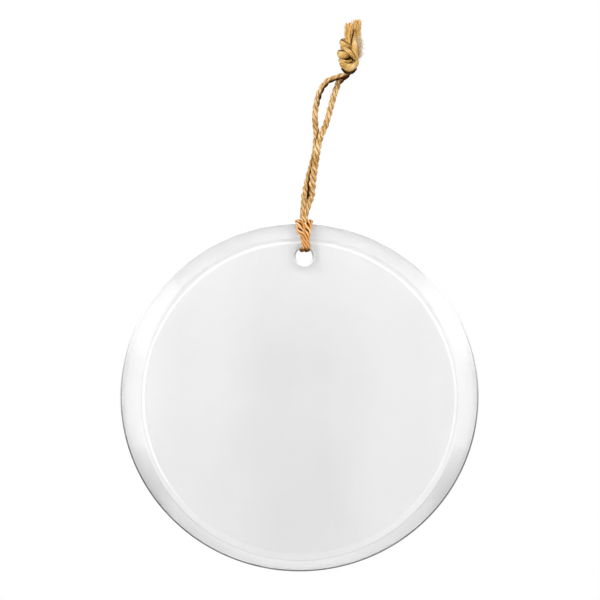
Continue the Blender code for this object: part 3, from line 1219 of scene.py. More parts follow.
@dataclass
class TwineRoute:
    """One side's line of twine: up from the hole, over the rim, through the neck, to the knot.

    The loop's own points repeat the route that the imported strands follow.
    """

    layout: Layout
    disc: GlassDisc
    side: Side
    loop_points: list[Place]
    strand_offset: float = 0.00074
    strand_diameter: float = 0.0014
    piece_gap: float = 0.0003
    leg_radius: float = 0.00060
    spacing: float = 0.00022
    leg_spacing: float = 0.00020
    shade_spacing: float = 0.0004
    coarse: float = 0.001

    def strand_line(self, spacing: float) -> list[Vector]:
        """The free strand, from its seat on the neck to the knot.

        Args:
            spacing: the distance between its points, in metres.

        Returns:
            The line's points.
        """
        lay = self.layout
        aside = lay.twine_across * self.side.value * self.strand_offset
        seat = lay.twist + aside + lay.twine_line * self.piece_gap / 2
        straight = seat + lay.twine_line * self.strand_diameter
        return smooth_route([seat, straight, *self.loop_points], spacing)

    def neck_line(self) -> list[Vector]:
        """The squeezed stretch, from under the swing's axis up to the strand's seat.

        Returns:
            The line's points.
        """
        lay, side = self.layout, self.side.value
        seat = self.strand_line(self.coarse)[0]
        return [
            Vector((lay.swing.x + side * 0.00036, -0.00105, lay.swing.z - 0.0031)),
            Vector((lay.swing.x + side * 0.00040, -0.00060, lay.swing.z - 0.0021)),
            lay.swing + lay.twine_across * side * 0.00046,
            lay.fold + lay.twine_across * side * 0.00058,
            seat,
        ]

    def leg_line(self) -> list[Vector]:
        """The hitch's leg: from the rim's front down to the hole, through it, and up the back.

        Returns:
            The line's points.
        """
        lay, clear = self.layout, self.leg_radius
        hole = self.disc.hole
        side, top = self.side.value, lay.rim_top_z
        front, back = lay.front_y - clear, lay.back_y + clear
        middle = hole.x + 0.00045
        turn = hole.z + self.disc.hole_radius - clear + 0.00015
        return [
            Vector((hole.x + side * 0.00140, 0.0003, top + 0.00030)),
            Vector((hole.x + side * 0.00130, -0.0007, top + 0.00012)),
            Vector((hole.x + side * 0.00098, front + 0.0011, top - 0.0007)),
            Vector((hole.x + side * 0.00092, front + 0.00080, top - 0.0021)),
            Vector((middle - 0.0002 + side * 0.00058, front + 0.00044, top - 0.0034)),
            Vector((middle - 0.0002 + side * 0.00050, front + 0.00016, top - 0.0045)),
            Vector((middle + side * 0.00052, front + 0.00002, top - 0.0059)),
            Vector((middle + side * 0.00054, front + 0.00040, turn + 0.0001)),
            Vector((middle + side * 0.00054, front + 0.0012, turn)),
            Vector((hole.x + side * 0.00058, 0.0, turn)),
            Vector((hole.x + side * 0.00058, back - 0.0011, turn)),
            Vector((hole.x + side * 0.00060, back - 0.0002, turn + 0.0005)),
            Vector((hole.x + side * 0.00060, back, turn + 0.0017)),
            Vector((hole.x + side * 0.00058, back, top - 0.0022)),
            Vector((hole.x + side * 0.00056, back - 0.0001, top - 0.0004)),
            Vector((hole.x + side * 0.00050, back - 0.0008, top + 0.00040)),
            Vector((hole.x + side * 0.00046, 0.0010, top + 0.00045)),
            Vector((hole.x + side * 0.00042, 0.0003, top + 0.00060)),
        ]


@dataclass(frozen=True)
class Stretch:
    """A stretch of the neck that bends between two bodies; reach is half the bend's length."""

    node: str
    upper: str
    lower: str
    joint: Vector
    reach: float
    low: float
    high: float


@dataclass
class Twine:
    """The whole loop of jute: two strands, the neck, and the hitch that holds the glass."""

    layout: Layout
    disc: GlassDisc
    loop_finish: bpy.types.Material
    hitch_finish: bpy.types.Material
    strand: TwistedCord = field(
        default_factory=lambda: TwistedCord(diameter=0.00158, pitch=0.0052, ply_share=0.54)
    )
    leg: TwistedCord = field(
        default_factory=lambda: TwistedCord(diameter=0.00116, pitch=0.0058, plies=4, ply_share=0.44)
    )
    loop_points: dict[Side, list[Place]] = field(default_factory=lambda: {
        Side.LEFT: [
            (-0.00586, 0.00050, -0.0235), (-0.00444, 0.00075, -0.0183), (-0.00415, 0.00085, -0.0163),
            (-0.00385, 0.00075, -0.0133), (-0.00390, 0.00050, -0.0110), (-0.00412, 0.00025, -0.0088),
            (-0.00407, 0.00005, -0.0064), (-0.00355, -0.00010, -0.0036), (-0.00270, -0.00020, -0.0011),
            (-0.00116, -0.00030, 0.0009), (0.00048, -0.00030, 0.0017), (0.00300, -0.00010, 0.00250),
        ],
        Side.RIGHT: [
            (-0.00468, -0.00055, -0.0235), (-0.00387, -0.00090, -0.0180), (-0.00345, -0.00095, -0.0156),
            (-0.00295, -0.00080, -0.0133), (-0.00225, -0.00050, -0.0115), (-0.00148, -0.00015, -0.0098),
            (-0.00086, 0.00015, -0.0077), (-0.00027, 0.00045, -0.0055), (0.00033, 0.00080, -0.0033),
            (0.00108, 0.00130, -0.0009), (0.00182, 0.00155, 0.0009), (0.00335, 0.00150, 0.0023),
        ],
    })
    knot_middle: Place = (0.0048, 0.0006, 0.0052)
    crossing: Place = (-0.00345, 0.0, -0.0135)
    loose_z: float = -0.0120
    wound_z: float = -0.0200
    wound_spread: float = 0.18
    twin_clear: float = 0.00142
    twin_pressed: float = 0.00108
    neck_squeeze: float = 0.78
    into_knot: float = 0.0008
    into_knot_share: float = 0.6
    # the heights between which painted shade on each strand's underside rises towards the knot
    shaded_z: dict[Side, tuple[float, float]] = field(default_factory=lambda: {
        Side.LEFT: (-0.0062, -0.0036), Side.RIGHT: (-0.0010, 0.0012),
    })
    shaded_way: Place = (0.50, 0.0, -0.87)
    leg_presses: list[Squeeze] = field(default_factory=lambda: [
        Squeeze(0.0005, 1.00, 0.48), Squeeze(-0.0002, 1.60, 0.70), Squeeze(-0.0008, 2.00, 0.85),
        Squeeze(-0.0022, 1.72, 0.90), Squeeze(-0.0040, 0.98, 0.95), Squeeze(-0.0058, 1.02, 0.90),
        Squeeze(-0.0075, 1.02, 0.85),
    ])
    leg_front_y: float = 0.0004
    leg_over_rim: Squeeze = Squeeze(-0.0006, 1.15, 0.70)
    leg_shade: float = 0.85
    bight_flat: Squeeze = Squeeze(0.0, 1.25, 0.48)
    bight_fade: float = 0.0012

    def route(self, side: Side) -> TwineRoute:
        """One side's line."""
        return TwineRoute(self.layout, self.disc, side, self.loop_points[side])

    def build_strand(self, side: Side, with_pieces: list[bpy.types.Object]) -> bpy.types.Object:
        """A free strand of the loop, which winds round its twin as the neck turns.

        Args:
            side: which strand.
            with_pieces: the separate pieces on it, built before it.

        Returns:
            The piece.
        """
        route = self.route(side)
        line = route.strand_line(route.spacing)
        below = line[0] - self.layout.twine_line * route.piece_gap
        onwards = line[-1] + (line[-1] - line[-4]).normalized() * self.into_knot
        hidden_end = onwards.lerp(Vector(self.knot_middle), self.into_knot_share)
        into_knot = smooth_route([line[-1], onwards, hidden_end], route.spacing)
        stations = stations_on([below, *line, *into_knot[1:]])
        for item in stations:
            item.wide = 1.0 + self.wound_spread * ease(item.place.z, self.loose_z, self.wound_z)
        mesh = self.strand.mesh(stations, f"strand_{side.word}")
        darken(mesh, self._strand_shade(side))
        piece = place_piece(f"twine_{side.word}", mesh, self.loop_finish)
        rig.replaces(piece, f"strand_{side.word}")
        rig.slot(piece, "twine")
        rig.cord(
            piece, exit=line[0], length=length_of(line), diameter=self.strand.diameter, far_end="knot",
            stiffness="medium", lay="hanging", path=line, with_pieces=with_pieces,
        )
        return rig.blend(piece, "hanger", "turning_neck", self.crossing, self.layout.twist)

    def _strand_shade(self, side: Side) -> Callable[[Vector], float]:
        """The painted shade on a strand: where it lies against its twin, and on its underside by the knot.

        Args:
            side: which strand.

        Returns:
            The darkness at a place.
        """
        route, twin_route = self.route(side), self.route(side.other)
        own = line_tree(route.strand_line(route.shade_spacing))
        twin = line_tree(twin_route.strand_line(route.shade_spacing))
        below = Vector(self.shaded_way)
        start, end = self.shaded_z[side]

        def shade(place: Vector) -> float:
            """The darkness at one place.

            Args:
                place: the place.

            Returns:
                The darkness, 0 to 1.
            """
            # painted shade where the strand lies against its twin, and painted shadow on its underside near the knot
            between_shade = ease(twin.find(place)[2], self.twin_clear, self.twin_pressed)
            under = (place - own.find(place)[0]).dot(below) / self.strand.diameter * 2
            return max(between_shade, ease(under, -0.05, 0.45) * ease(place.z, start, end))

        return shade

    def _neck_part(self, stretch: Stretch) -> bpy.types.Object:
        """One bending stretch of the neck, both strands of it.

        Args:
            stretch: where it is and what it joins.

        Returns:
            The piece.
        """
        parts = []
        swing_z, twist_z = self.layout.swing.z, self.layout.twist.z
        for side in Side:
            route = self.route(side)
            above = route.strand_line(route.coarse)[2]
            line = smooth_route([*route.neck_line(), above], route.spacing)
            stations = [item for item in stations_on(line) if stretch.low <= item.place.z <= stretch.high]
            for item in stations:
                share = min(1.0, max(0.0, (item.place.z - swing_z) / (twist_z - swing_z)))
                item.wide = item.deep = self.neck_squeeze + (1.0 - self.neck_squeeze) * share
            parts += [self.strand.ply(stations, number) for number in range(self.strand.plies)]
        piece = place_piece(f"twine_{stretch.node}", join(parts, stretch.node), self.loop_finish)
        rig.replaces(piece, stretch.node)
        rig.slot(piece, "twine")
        reach = self.layout.twine_line * stretch.reach
        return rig.blend(piece, stretch.upper, stretch.lower, stretch.joint + reach, stretch.joint - reach)

    def build_neck(self) -> list[bpy.types.Object]:
        """The two squeezed stretches in which the twine folds and swings.

        Returns:
            The upper and the lower piece.
        """
        lay = self.layout
        return [
            self._neck_part(Stretch(
                "neck_upper", "turning_neck", "folding_neck", joint=lay.fold, reach=0.0008,
                low=lay.fold.z - 0.0007, high=lay.twist.z + 0.0007,
            )),
            self._neck_part(Stretch(
                "neck_lower", "folding_neck", "pendant", joint=lay.swing, reach=0.0006,
                low=lay.swing.z - 0.0031, high=lay.fold.z - 0.0002,
            )),
        ]

    def build_leg(self, side: Side) -> bpy.types.Object:
        """A leg of the hitch, pressed flat where it fans out over the bevel.

        Args:
            side: which leg.

        Returns:
            The piece.
        """
        route = self.route(side)
        stations = stations_on(smooth_route(route.leg_line(), route.leg_spacing))
        top = self.layout.rim_top_z
        for item in stations:
            over_rim = item.place.z - top
            if item.place.y < self.leg_front_y:
                item.wide, item.deep = self._pressed(self.leg_presses, over_rim)
            elif over_rim > self.leg_over_rim.height:
                item.wide, item.deep = self.leg_over_rim.wide, self.leg_over_rim.deep
        mesh = self.leg.mesh(stations, f"leg_{side.word}")
        # painted shade: the legs darken where they pass into the bore
        bore_top = self.disc.hole.z + self.disc.hole_radius
        lit, dark = bore_top + 0.0003, bore_top - 0.0006
        darken(mesh, lambda place: self.leg_shade * ease(place.z, lit, dark))
        piece = place_piece(f"hitch_{side.word}", mesh, self.hitch_finish)
        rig.replaces(piece, f"hitch_leg_{side.word}")
        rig.slot(piece, "hitch_twine")
        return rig.ride(piece, "pendant")

    @staticmethod
    def _pressed(presses: list[Squeeze], height: float) -> tuple[float, float]:
        """The width and depth shares at a height, between the squeezes above and below it.

        Args:
            presses: the squeezes, from the highest down.
            height: the height over the rim.

        Returns:
            The width's and the depth's share.
        """
        for upper, lower in zip(presses, presses[1:]):
            if height >= lower.height:
                share = (height - lower.height) / (upper.height - lower.height)
                share = min(1.0, max(0.0, share))
                return (
                    lower.wide + (upper.wide - lower.wide) * share,
                    lower.deep + (upper.deep - lower.deep) * share,
                )
        return presses[-1].wide, presses[-1].deep

    def build_bight(self) -> bpy.types.Object:
        """The hitch's bight: over the rim from both legs and round behind the strands.

        Returns:
            The piece.
        """
        lay = self.layout
        hole, top = self.disc.hole, lay.rim_top_z
        lift, back = 0.00030, lay.back_y + 0.0006
        half = [
            (0.00146, -0.0007, top + 0.00008), (0.00148, 0.0003, top + lift),
            (0.00155, 0.0013, top + lift), (0.00160, back, top + lift - 0.0001),
            (0.00115, back + 0.0010, top + lift - 0.0002),
        ]
        left = [Vector((hole.x - x, y, z)) for x, y, z in half]
        right = [Vector((hole.x + x, y, z)) for x, y, z in reversed(half)]
        middle = [Vector((hole.x, back + 0.0015, top + lift - 0.0002))]
        stations = stations_on(smooth_route(left + middle + right, self.route(Side.LEFT).leg_spacing))
        for item in stations:
            off_rim = min(1.0, max(0.0, (item.place.y - lay.glass_back_y) / self.bight_fade))
            item.wide = self.bight_flat.wide + (1.0 - self.bight_flat.wide) * off_rim
            item.deep = self.bight_flat.deep + (1.0 - self.bight_flat.deep) * off_rim
        piece = place_piece("hitch_over", self.leg.mesh(stations, "bight"), self.hitch_finish)
        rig.replaces(piece, "hitch_bight")
        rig.slot(piece, "hitch_twine")
        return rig.ride(piece, "pendant")


# ---------------------------------------------------------------- knot and frayed ends
@dataclass(frozen=True)
class Fold:
    """One visible turn of the knot: its line, and its half width and half thickness."""

    line: list[Place]
    half_width: float
    half_depth: float


@dataclass
class Knot:
    """An overhand knot of the doubled twine, pulled tight: folds laid over a core that is coloured near black as
    painted shadow.
    """

    finish: bpy.types.Material
    core_finish: bpy.types.Material
    core_place: Place = (0.0042, 0.0005, 0.0069)
    core_size: Place = (0.0032, 0.0028, 0.0068)
    spacing: float = 0.00028
    sides: int = 20
    lumps: float = 0.06
    lumps_each_mm: float = 2.6
    narrowest: float = 0.25
    bluntness: float = 0.35
    folds: list[Fold] = field(default_factory=lambda: [
        # the strap round the bottom, in front
        Fold([(0.0034, 0.0020, 0.0055), (0.0026, 0.0004, 0.0058), (0.0028, -0.0012, 0.0053),
              (0.0040, -0.0020, 0.0045), (0.0052, -0.0017, 0.0047), (0.0062, -0.0004, 0.0058),
              (0.0060, 0.0014, 0.0064)], 0.00112, 0.00078),
        # the narrow fold above it on the left
        Fold([(0.0027, 0.0008, 0.0064), (0.0021, -0.0004, 0.0063), (0.0027, -0.0014, 0.0060),
              (0.0038, -0.0016, 0.0058), (0.0049, -0.0011, 0.0062)], 0.00052, 0.00055),
        # the lobe at the left
        Fold([(0.0029, 0.0010, 0.0084), (0.0021, -0.0001, 0.0079), (0.0023, -0.0013, 0.0076),
              (0.0033, -0.0016, 0.0075), (0.0041, -0.0008, 0.0074)], 0.00108, 0.00075),
        # the slanting strap
        Fold([(0.0025, -0.0002, 0.0095), (0.0031, -0.0014, 0.0092), (0.0042, -0.0019, 0.0085),
              (0.0052, -0.0019, 0.0074), (0.0062, -0.0010, 0.0062)], 0.00062, 0.00062),
        # the lobe at the top
        Fold([(0.0037, 0.0010, 0.0112), (0.0028, 0.0000, 0.0108), (0.0028, -0.0012, 0.0103),
              (0.0037, -0.0016, 0.0099), (0.0047, -0.0009, 0.0095)], 0.00104, 0.00078),
        # the right end as it leaves the knot
        Fold([(0.0061, -0.0004, 0.0060), (0.0058, -0.0010, 0.0074), (0.0056, -0.0010, 0.0090),
              (0.0057, -0.0004, 0.0108), (0.0059, 0.0002, 0.0122)], 0.00080, 0.00085),
        # two turns behind
        Fold([(0.0060, 0.0010, 0.0050), (0.0048, 0.0022, 0.0058), (0.0036, 0.0024, 0.0076),
              (0.0032, 0.0016, 0.0094), (0.0038, 0.0008, 0.0106)], 0.00115, 0.00075),
        Fold([(0.0030, 0.0016, 0.0056), (0.0046, 0.0023, 0.0068), (0.0060, 0.0016, 0.0084),
              (0.0058, 0.0004, 0.0098)], 0.00100, 0.00070),
    ])
    gaps: list[Fold] = field(default_factory=lambda: [
        # painted shadows: a dark tube for the shade under the bottom strap, and a thin one for the shaded seam between
        # the two ends
        Fold([(0.0026, 0.0002, 0.0042), (0.0036, -0.0008, 0.0034), (0.0050, -0.0009, 0.0033),
              (0.0061, -0.0002, 0.0042)], 0.00050, 0.00055),
        Fold([(0.0048, -0.0011, 0.0102), (0.0051, -0.0012, 0.0120), (0.0056, -0.0011, 0.0140)],
             0.00016, 0.00012),
    ])

    def _fold(self, fold: Fold, number: int) -> bmesh.types.BMesh:
        """One fold as a flattened, slightly lumpy tube with rounded ends.

        Args:
            fold: its line and sizes.
            number: which fold, for its own lumps.

        Returns:
            The fold as a bmesh.
        """
        line = smooth_route(fold.line, self.spacing)
        stations = stations_on(line, Vector((0.0, 0.0, 1.0)))
        rings = []
        for step, item in enumerate(stations):
            share = step / (len(stations) - 1)
            rounding = max(self.narrowest, math.sin(math.pi * share)) ** self.bluntness
            lump = 1.0 + self.lumps * math.sin(item.along / MM * self.lumps_each_mm + number * 1.7)
            wide = fold.half_width * rounding * lump
            deep = fold.half_depth * rounding
            tangent = item.side.cross(item.front)
            matrix = Matrix((item.side * wide, item.front * deep, tangent * deep)).transposed().to_4x4()
            matrix.translation = item.place
            rings.append((matrix, item.along))
        return swept(rings, self.sides)

    def _core(self) -> bmesh.types.BMesh:
        """The filled middle of the knot.

        Returns:
            The middle as a bmesh.
        """
        bm = bmesh.new()
        bmesh.ops.create_uvsphere(bm, u_segments=32, v_segments=20, radius=0.5)
        place = Matrix.Translation(self.core_place) @ Matrix.Diagonal((*self.core_size, 1.0))
        bmesh.ops.transform(bm, matrix=place, verts=bm.verts[:])
        bm.loops.layers.uv.new(PLY_MAP)
        return bm

    def build(self) -> list[bpy.types.Object]:
        """The knot's core and its folds.

        Returns:
            The folds' piece and the core's.
        """
        folds = join([self._fold(fold, number) for number, fold in enumerate(self.folds)], "folds")
        piece = place_piece("knot_folds", folds, self.finish)
        # painted shadow: the core and the dark tubes are one near-black piece
        dark = [self._core(), *(self._fold(gap, number) for number, gap in enumerate(self.gaps))]
        core = place_piece("knot_core", join(dark, "core"), self.core_finish)
        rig.replaces(piece, "knot")
        for item in (piece, core):
            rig.slot(item, "twine")
            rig.ride(item, "hanger")
        return [piece, core]


@dataclass(frozen=True)
class Brush:
    """A frayed end: where it starts and stops, and how its fibres spread."""

    node: str
    root: Place
    tip: Place
    root_radius: float
    tip_radius: float
    locks: int
    fibres: int
    seed: int


@dataclass
class FrayedEnds:
    """The two cut ends above the knot, teased out into locks and single fibres."""

    finish: bpy.types.Material
    fuzz_finish: bpy.types.Material
    lock_radii: tuple[float, float] = (0.00026, 0.00040)
    fibre_radii: tuple[float, float] = (0.000035, 0.000075)
    fuzz_fibres: int = 620
    fuzz_radii: tuple[float, float] = (0.000022, 0.000042)
    fuzz_low: Place = (0.0059, -0.0012, 0.0070)
    fuzz_high: Place = (0.0070, 0.0010, 0.0120)
    hairs_a_strand: int = 38
    hair_radii: tuple[float, float] = (0.000015, 0.000026)
    hairs_low_z: float = -0.0130
    hairs_high_z: float = 0.0012
    hair_start: float = 0.0006
    brushes: list[Brush] = field(default_factory=lambda: [
        Brush(
            "frayed_end_left", root=(0.0043, 0.0002, 0.0094), tip=(0.0047, -0.0001, 0.0157),
            root_radius=0.0009, tip_radius=0.00135, locks=16, fibres=150, seed=5,
        ),
        Brush(
            "frayed_end_right", root=(0.0057, 0.0003, 0.0086), tip=(0.0063, 0.0001, 0.0165),
            root_radius=0.0008, tip_radius=0.00110, locks=15, fibres=150, seed=11,
        ),
    ])

    @staticmethod
    def _tufts(name: str, lines: list[tuple[list[Vector], float]], thin: float) -> bpy.types.Mesh:
        """Thin closed fibres along lines, as one mesh.

        Args:
            name: the mesh's name.
            lines: each fibre's points and radius.
            thin: the tip's share of the radius.

        Returns:
            The mesh.
        """
        curve = bpy.data.curves.new(name, "CURVE")
        curve.dimensions = "3D"
        curve.bevel_depth = 1.0
        curve.bevel_resolution = 0
        curve.use_fill_caps = True
        for points, radius in lines:
            spline = curve.splines.new("POLY")
            spline.points.add(len(points) - 1)
            for number, point in enumerate(points):
                share = number / (len(points) - 1)
                spline.points[number].co = (*point, 1.0)
                spline.points[number].radius = radius * (1.0 + (thin - 1.0) * share**2)
        holder = bpy.data.objects.new(name, curve)
        bpy.context.scene.collection.objects.link(holder)
        mesh = bpy.data.meshes.new_from_object(
            holder.evaluated_get(bpy.context.evaluated_depsgraph_get())
        )
        bpy.data.objects.remove(holder)
        mesh.materials.clear()
        mesh.name = name
        mesh.shade_smooth()
        return mesh

    @staticmethod
    def _lock(brush: Brush, chance: random.Random, spread: float, short: float) -> list[Vector]:
        """One wavy line from a brush's root to about its tip.

        Args:
            brush: the frayed end.
            chance: the source of its random draws.
            spread: its share of the brush's radius at the tip.
            short: the most that it may fall short of the tip, as a share.

        Returns:
            The line's points.
        """
        turn = chance.uniform(0.0, math.tau)
        out = math.sqrt(chance.random())
        root, tip = Vector(brush.root), Vector(brush.tip)
        start = Vector((math.cos(turn), math.sin(turn), 0.0)) * out * brush.root_radius
        end = Vector((math.cos(turn), math.sin(turn), 0.0)) * out * brush.tip_radius * spread
        reach = 1.0 - short * chance.random() ** 1.5
        wave, phase = chance.uniform(0.00008, 0.00032), chance.uniform(0.0, math.tau)
        points = []
        steps = 8
        for step in range(steps + 1):
            share = step / steps
            place = root.lerp(tip, share * reach) + start.lerp(end, share)
            swing = wave * (0.3 + share)
            bend = phase + share * 5.0
            points.append(place + Vector((math.sin(bend), math.cos(bend * 0.8), 0.0)) * swing)
        return points

    def build_brush(self, brush: Brush) -> bpy.types.Object:
        """One frayed end.

        Args:
            brush: its sizes.

        Returns:
            The piece.
        """
        chance = random.Random(brush.seed)
        lines = [
            (self._lock(brush, chance, 0.85, 0.32), chance.uniform(*self.lock_radii))
            for _ in range(brush.locks)
        ]
        lines += [
            (self._lock(brush, chance, 1.12, 0.35), chance.uniform(*self.fibre_radii))
            for _ in range(brush.fibres)
        ]
        piece = place_piece(brush.node + "_brush", self._tufts(brush.node, lines, 0.45), self.finish)
        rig.replaces(piece, brush.node)
        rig.slot(piece, "twine")
        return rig.ride(piece, "hanger")

    def build_fuzz(self) -> bpy.types.Object:
        """Pale loose fibres that curl out on the right of the knot.

        Returns:
            The piece.
        """
        chance = random.Random(23)
        lines = []
        steps = 6
        for _ in range(self.fuzz_fibres):
            start = Vector([chance.uniform(low, high) for low, high in zip(self.fuzz_low, self.fuzz_high)])
            way = Vector((chance.uniform(0.4, 1.0), chance.uniform(-0.5, 0.5), chance.uniform(-0.6, 0.7)))
            reach, curl = chance.uniform(0.0006, 0.0017), chance.uniform(-2.4, 2.4)
            points = []
            for step in range(steps + 1):
                share = step / steps
                turned = Matrix.Rotation(curl * share, 3, "Y") @ way
                points.append(start + turned * reach * share)
            lines.append((points, chance.uniform(*self.fuzz_radii)))
        piece = place_piece("loose_fuzz", self._tufts("fuzz", lines, 0.6), self.fuzz_finish)
        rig.slot(piece, "twine")
        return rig.ride(piece, "hanger")

    def build_hairs(self, twine: Twine) -> bpy.types.Object:
        """Short stray hairs that stand off the two strands above where they wind.

        Args:
            twine: the twine whose strands carry them.

        Returns:
            The piece.
        """
        chance = random.Random(31)
        lines = []
        for side in Side:
            route = twine.route(side)
            line = route.strand_line(route.shade_spacing)
            free = [place for place in line if self.hairs_low_z < place.z < self.hairs_high_z]
            for _ in range(self.hairs_a_strand):
                place = free[chance.randrange(len(free) - 1)]
                turn = chance.uniform(0.0, math.tau)
                out = Vector((math.cos(turn), math.sin(turn), chance.uniform(0.5, 1.4))).normalized()
                reach = chance.uniform(0.0004, 0.0011)
                bow = Vector((0.0, 0.0, chance.uniform(-0.0002, 0.0003)))
                points = [place + out * (self.hair_start + reach * share) + bow * share**2
                          for share in (0.0, 0.25, 0.5, 0.75, 1.0)]
                lines.append((points, chance.uniform(*self.hair_radii)))
        piece = place_piece("stray_hairs", self._tufts("hairs", lines, 0.5), self.fuzz_finish)
        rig.slot(piece, "twine")
        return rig.ride(piece, "hanger")


# ---------------------------------------------------------------- the set
@dataclass
class Studio:
    """A plain pale floor, soft lights and the camera in front."""

    aim: Place = (-0.007876, 0.0, -0.05333)
    distance: float = 1.0
    frame_width: float = 0.1492
    floor_z: float = -0.165
    floor_radius: float = 0.42
    white: float = 1.0
    fill: float = 0.31
    ring_strength: float = 5.3
    ring_radii: tuple[float, float] = (0.30, 0.50)
    ring_y: float = -1.45
    strip_strength: float = 2.1
    strip_size: tuple[float, float] = (0.34, 1.3)
    strip_place: Place = (0.78, -1.30, 0.12)
    strip_turn: float = math.radians(30)
    key_power: dict[Side, float] = field(default_factory=lambda: {Side.LEFT: 65.1, Side.RIGHT: 39.9})
    key_size: float = 1.8
    key_place: Place = (1.70, -1.60, 1.60)

    def build_camera(self) -> None:
        """A long lens, level with the disc, framed as wide as the set allows."""
        data = bpy.data.cameras.new("camera")
        data.sensor_width = 36.0
        data.lens = data.sensor_width * self.distance / self.frame_width
        camera = bpy.data.objects.new("camera", data)
        bpy.context.scene.collection.objects.link(camera)
        camera.location = Vector(self.aim) - Vector((0.0, self.distance, 0.0))
        camera.rotation_euler = (math.pi / 2, 0.0, 0.0)
        data.clip_start, data.clip_end = 0.05, 50.0
        bpy.context.scene.camera = camera

    def build_world(self) -> None:
        """A white surround, which lights the object more gently than it shows."""
        bench = Bench(bpy.data.worlds.new("studio"))
        pale = (1.0, 1.0, 1.0, 1.0)
        lit = bench.node("ShaderNodeBackground", {}, {"Color": pale, "Strength": self.fill})
        shown = bench.node("ShaderNodeBackground", {}, {"Color": pale, "Strength": self.white})
        seen = bench.node("ShaderNodeLightPath", output="Is Camera Ray")
        surround = bench.node("ShaderNodeMixShader", {}, {0: seen, 1: lit, 2: shown})
        bench.end(surround, "ShaderNodeOutputWorld")
        scene = bpy.context.scene
        scene.world = bench.owner
        scene.view_settings.view_transform = "Standard"

    def build_floor(self) -> None:
        """A pale round floor, below the picture."""
        bm = bmesh.new()
        bmesh.ops.create_circle(bm, cap_ends=True, segments=96, radius=self.floor_radius)
        bmesh.ops.translate(bm, vec=(self.aim[0], 0.0, self.floor_z), verts=bm.verts[:])
        bench = Bench.of_finish("pale_floor")
        tone = bench.grain(bench.place(), (9.0, 9.0, 9.0), 2.0, 0.5)
        colour = bench.mix(tone, (0.84, 0.84, 0.84), (0.88, 0.88, 0.88))
        floor = place_piece("floor", join([bm], "floor"), bench.surface(Base_Color=colour, Roughness=0.8))
        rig.stage(floor)

    def _emitter(self, name: str, strength: float) -> bpy.types.Material:
        """A plain glowing finish for a soft light's face.

        Args:
            name: the finish's name.
            strength: how brightly it glows.

        Returns:
            The material.
        """
        bench = Bench.of_finish(name)
        glow = {"Color": (1.0, 1.0, 1.0, 1.0), "Strength": strength}
        bench.end(bench.node("ShaderNodeEmission", {}, glow))
        return bench.owner

    def _unseen_light(self, name: str, bm: bmesh.types.BMesh, place: Matrix, strength: float) -> None:
        """A glowing shape that stands upright in front and that the camera doesn't see.

        Args:
            name: its name.
            bm: its shape, lying flat.
            place: where it stands, and how it is turned from facing the object.
            strength: how brightly it glows.
        """
        upright = place @ Matrix.Rotation(math.pi / 2, 4, "X")
        bmesh.ops.transform(bm, matrix=upright, verts=bm.verts[:])
        light = place_piece(name, join([bm], name), self._emitter(name, strength))
        light.visible_camera = False
        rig.stage(light)

    def build_ring_light(self) -> None:
        """A wide ring of soft light round the camera, which draws the glass's crease."""
        bm = bmesh.new()
        for radius in self.ring_radii:
            bmesh.ops.create_circle(bm, segments=64, radius=radius)
        bmesh.ops.bridge_loops(bm, edges=bm.edges[:])
        place = Matrix.Translation((self.aim[0], self.ring_y, self.aim[2]))
        self._unseen_light("ring_light", bm, place, self.ring_strength)

    def build_strip(self, side: Side) -> None:
        """A tall strip light on one side of the camera, which the side bevels mirror.

        Args:
            side: which side it stands on.
        """
        bm = bmesh.new()
        bmesh.ops.create_grid(bm, x_segments=1, y_segments=1, size=0.5)
        bmesh.ops.transform(bm, matrix=Matrix.Diagonal((*self.strip_size, 1.0, 1.0)), verts=bm.verts[:])
        x, y, z = self.strip_place
        spot = Matrix.Translation((self.aim[0] + side.value * x, y, self.aim[2] + z))
        place = spot @ Matrix.Rotation(side.value * self.strip_turn, 4, "Z")
        self._unseen_light(f"strip_{side.word}", bm, place, self.strip_strength)

    def build_key(self, side: Side) -> None:
        """A soft light, high in front on one side, which models the twine.

        Args:
            side: which side it stands on.
        """
        name = f"key_{side.word}"
        data = bpy.data.lights.new(name, "AREA")
        data.shape = "DISK"
        data.size = self.key_size
        data.energy = self.key_power[side]
        key = bpy.data.objects.new(name, data)
        bpy.context.scene.collection.objects.link(key)
        x, y, z = self.key_place
        place = Vector((x * side.value, y, z))
        key.location = place
        key.rotation_euler = (Vector(self.aim) - place).to_track_quat("-Z", "Y").to_euler()
        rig.stage(key)

    def build(self) -> None:
        """The whole set."""
        self.build_camera()
        self.build_world()
        self.build_floor()
        self.build_ring_light()
        for side in Side:
            self.build_strip(side)
        for side in Side:
            self.build_key(side)


def write_sizes() -> None:
    """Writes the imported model's box and the visual model's box."""
    boxes = {"cad": CAD_BOX, "visual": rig.bounds()}
    plain = {name: [list(corner) for corner in box] for name, box in boxes.items()}
    with open(SIZE_FILE, "w", encoding="utf-8") as file:
        json.dump(plain, file, indent=1)


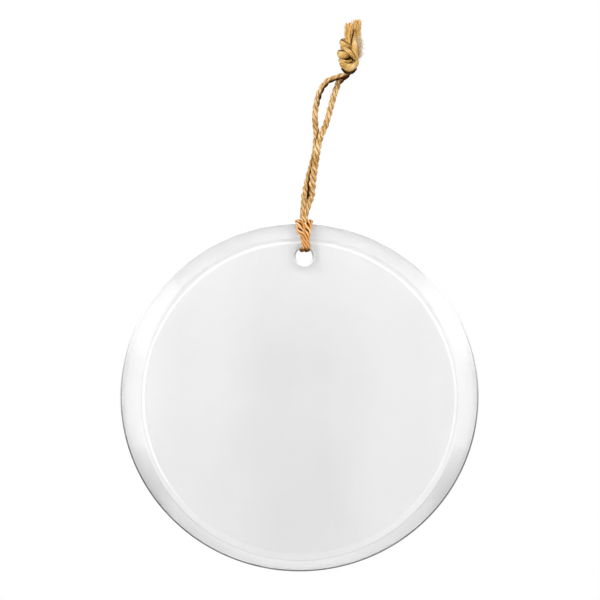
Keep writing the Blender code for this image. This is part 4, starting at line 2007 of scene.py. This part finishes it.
def build_disc(layout: Layout) -> GlassDisc:
    """The glass and its film, dressed.

    Args:
        layout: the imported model's places.

    Returns:
        The disc, which the hitch fits.
    """
    disc = GlassDisc(layout)
    middle_z, half = layout.disc.z, layout.half_height
    low, high = middle_z - half, middle_z + half
    hole_z, radius = disc.hole.z, disc.hole_radius
    centre = tuple(layout.disc)
    clear = GlassFinish(
        "polished_glass", tint=(1.0, 1.0, 1.0), roughness=0.015, roughness_change=0.03, wave_depth=0.00002
    )
    # painted shade: the rim shows as a near-black line low down and on the sides, fading out towards the top
    rim = GroundFinish(
        "ground_rim", (0.08, 0.08, 0.085), dusty_z=middle_z - 0.35 * half, clean_z=high, clearness=0.30
    )
    # painted shade: the wall greyer towards the bottom
    wall = GroundFinish("ground_wall", (0.86, 0.87, 0.87), dusty_z=low, clean_z=high, clearness=0.94)
    # painted shade: the lip dark round the top of the hole, clear below
    lip = GroundFinish(
        "ground_lip", (0.30, 0.30, 0.31), dusty_z=hole_z + 0.6 * radius, clean_z=hole_z - radius
    )
    # painted shade: the bevel grey at the top and low down on each side
    bevel = BevelFinish("polished_bevel", (1.0, 1.0, 1.0), (0.69, 0.69, 0.70), centre, half)
    disc.build_glass({
        Surface.FACE: clear.material(), Surface.RIM: rim.material(), Surface.LIP: lip.material(),
        Surface.BEVEL: bevel.material(), Surface.WALL: wall.material(),
    })
    # the film's darker colour carries both its cloudy tone and the painted shade in its middle
    white = FilmFinish("white_film", (0.99, 0.99, 0.99), (0.86, 0.86, 0.86), centre, layout.half_width)
    disc.build_film(white.material())
    return disc


def main() -> None:
    """Builds the set, the disc and the twine in order."""
    logging.basicConfig(level=logging.INFO, format="%(name)s: %(message)s")
    Studio().build()
    layout = Layout.read()
    disc = build_disc(layout)
    twine = Twine(layout, disc, STRAW_JUTE.material(), RUST_JUTE.material())
    knot = Knot(FOLDED_JUTE.material(), KNOT_CORE_SHADOW.material())
    ends = FrayedEnds(RAVELLED_JUTE.material(), PALE_FUZZ.material())
    below = [*twine.build_neck(), *(twine.build_leg(side) for side in Side), twine.build_bight()]
    above = [*knot.build(), *(ends.build_brush(brush) for brush in ends.brushes), ends.build_fuzz()]
    twine.build_strand(Side.LEFT, above)
    twine.build_strand(Side.RIGHT, below)
    ends.build_hairs(twine)
    write_sizes()


if __name__ == "__main__":
    main()
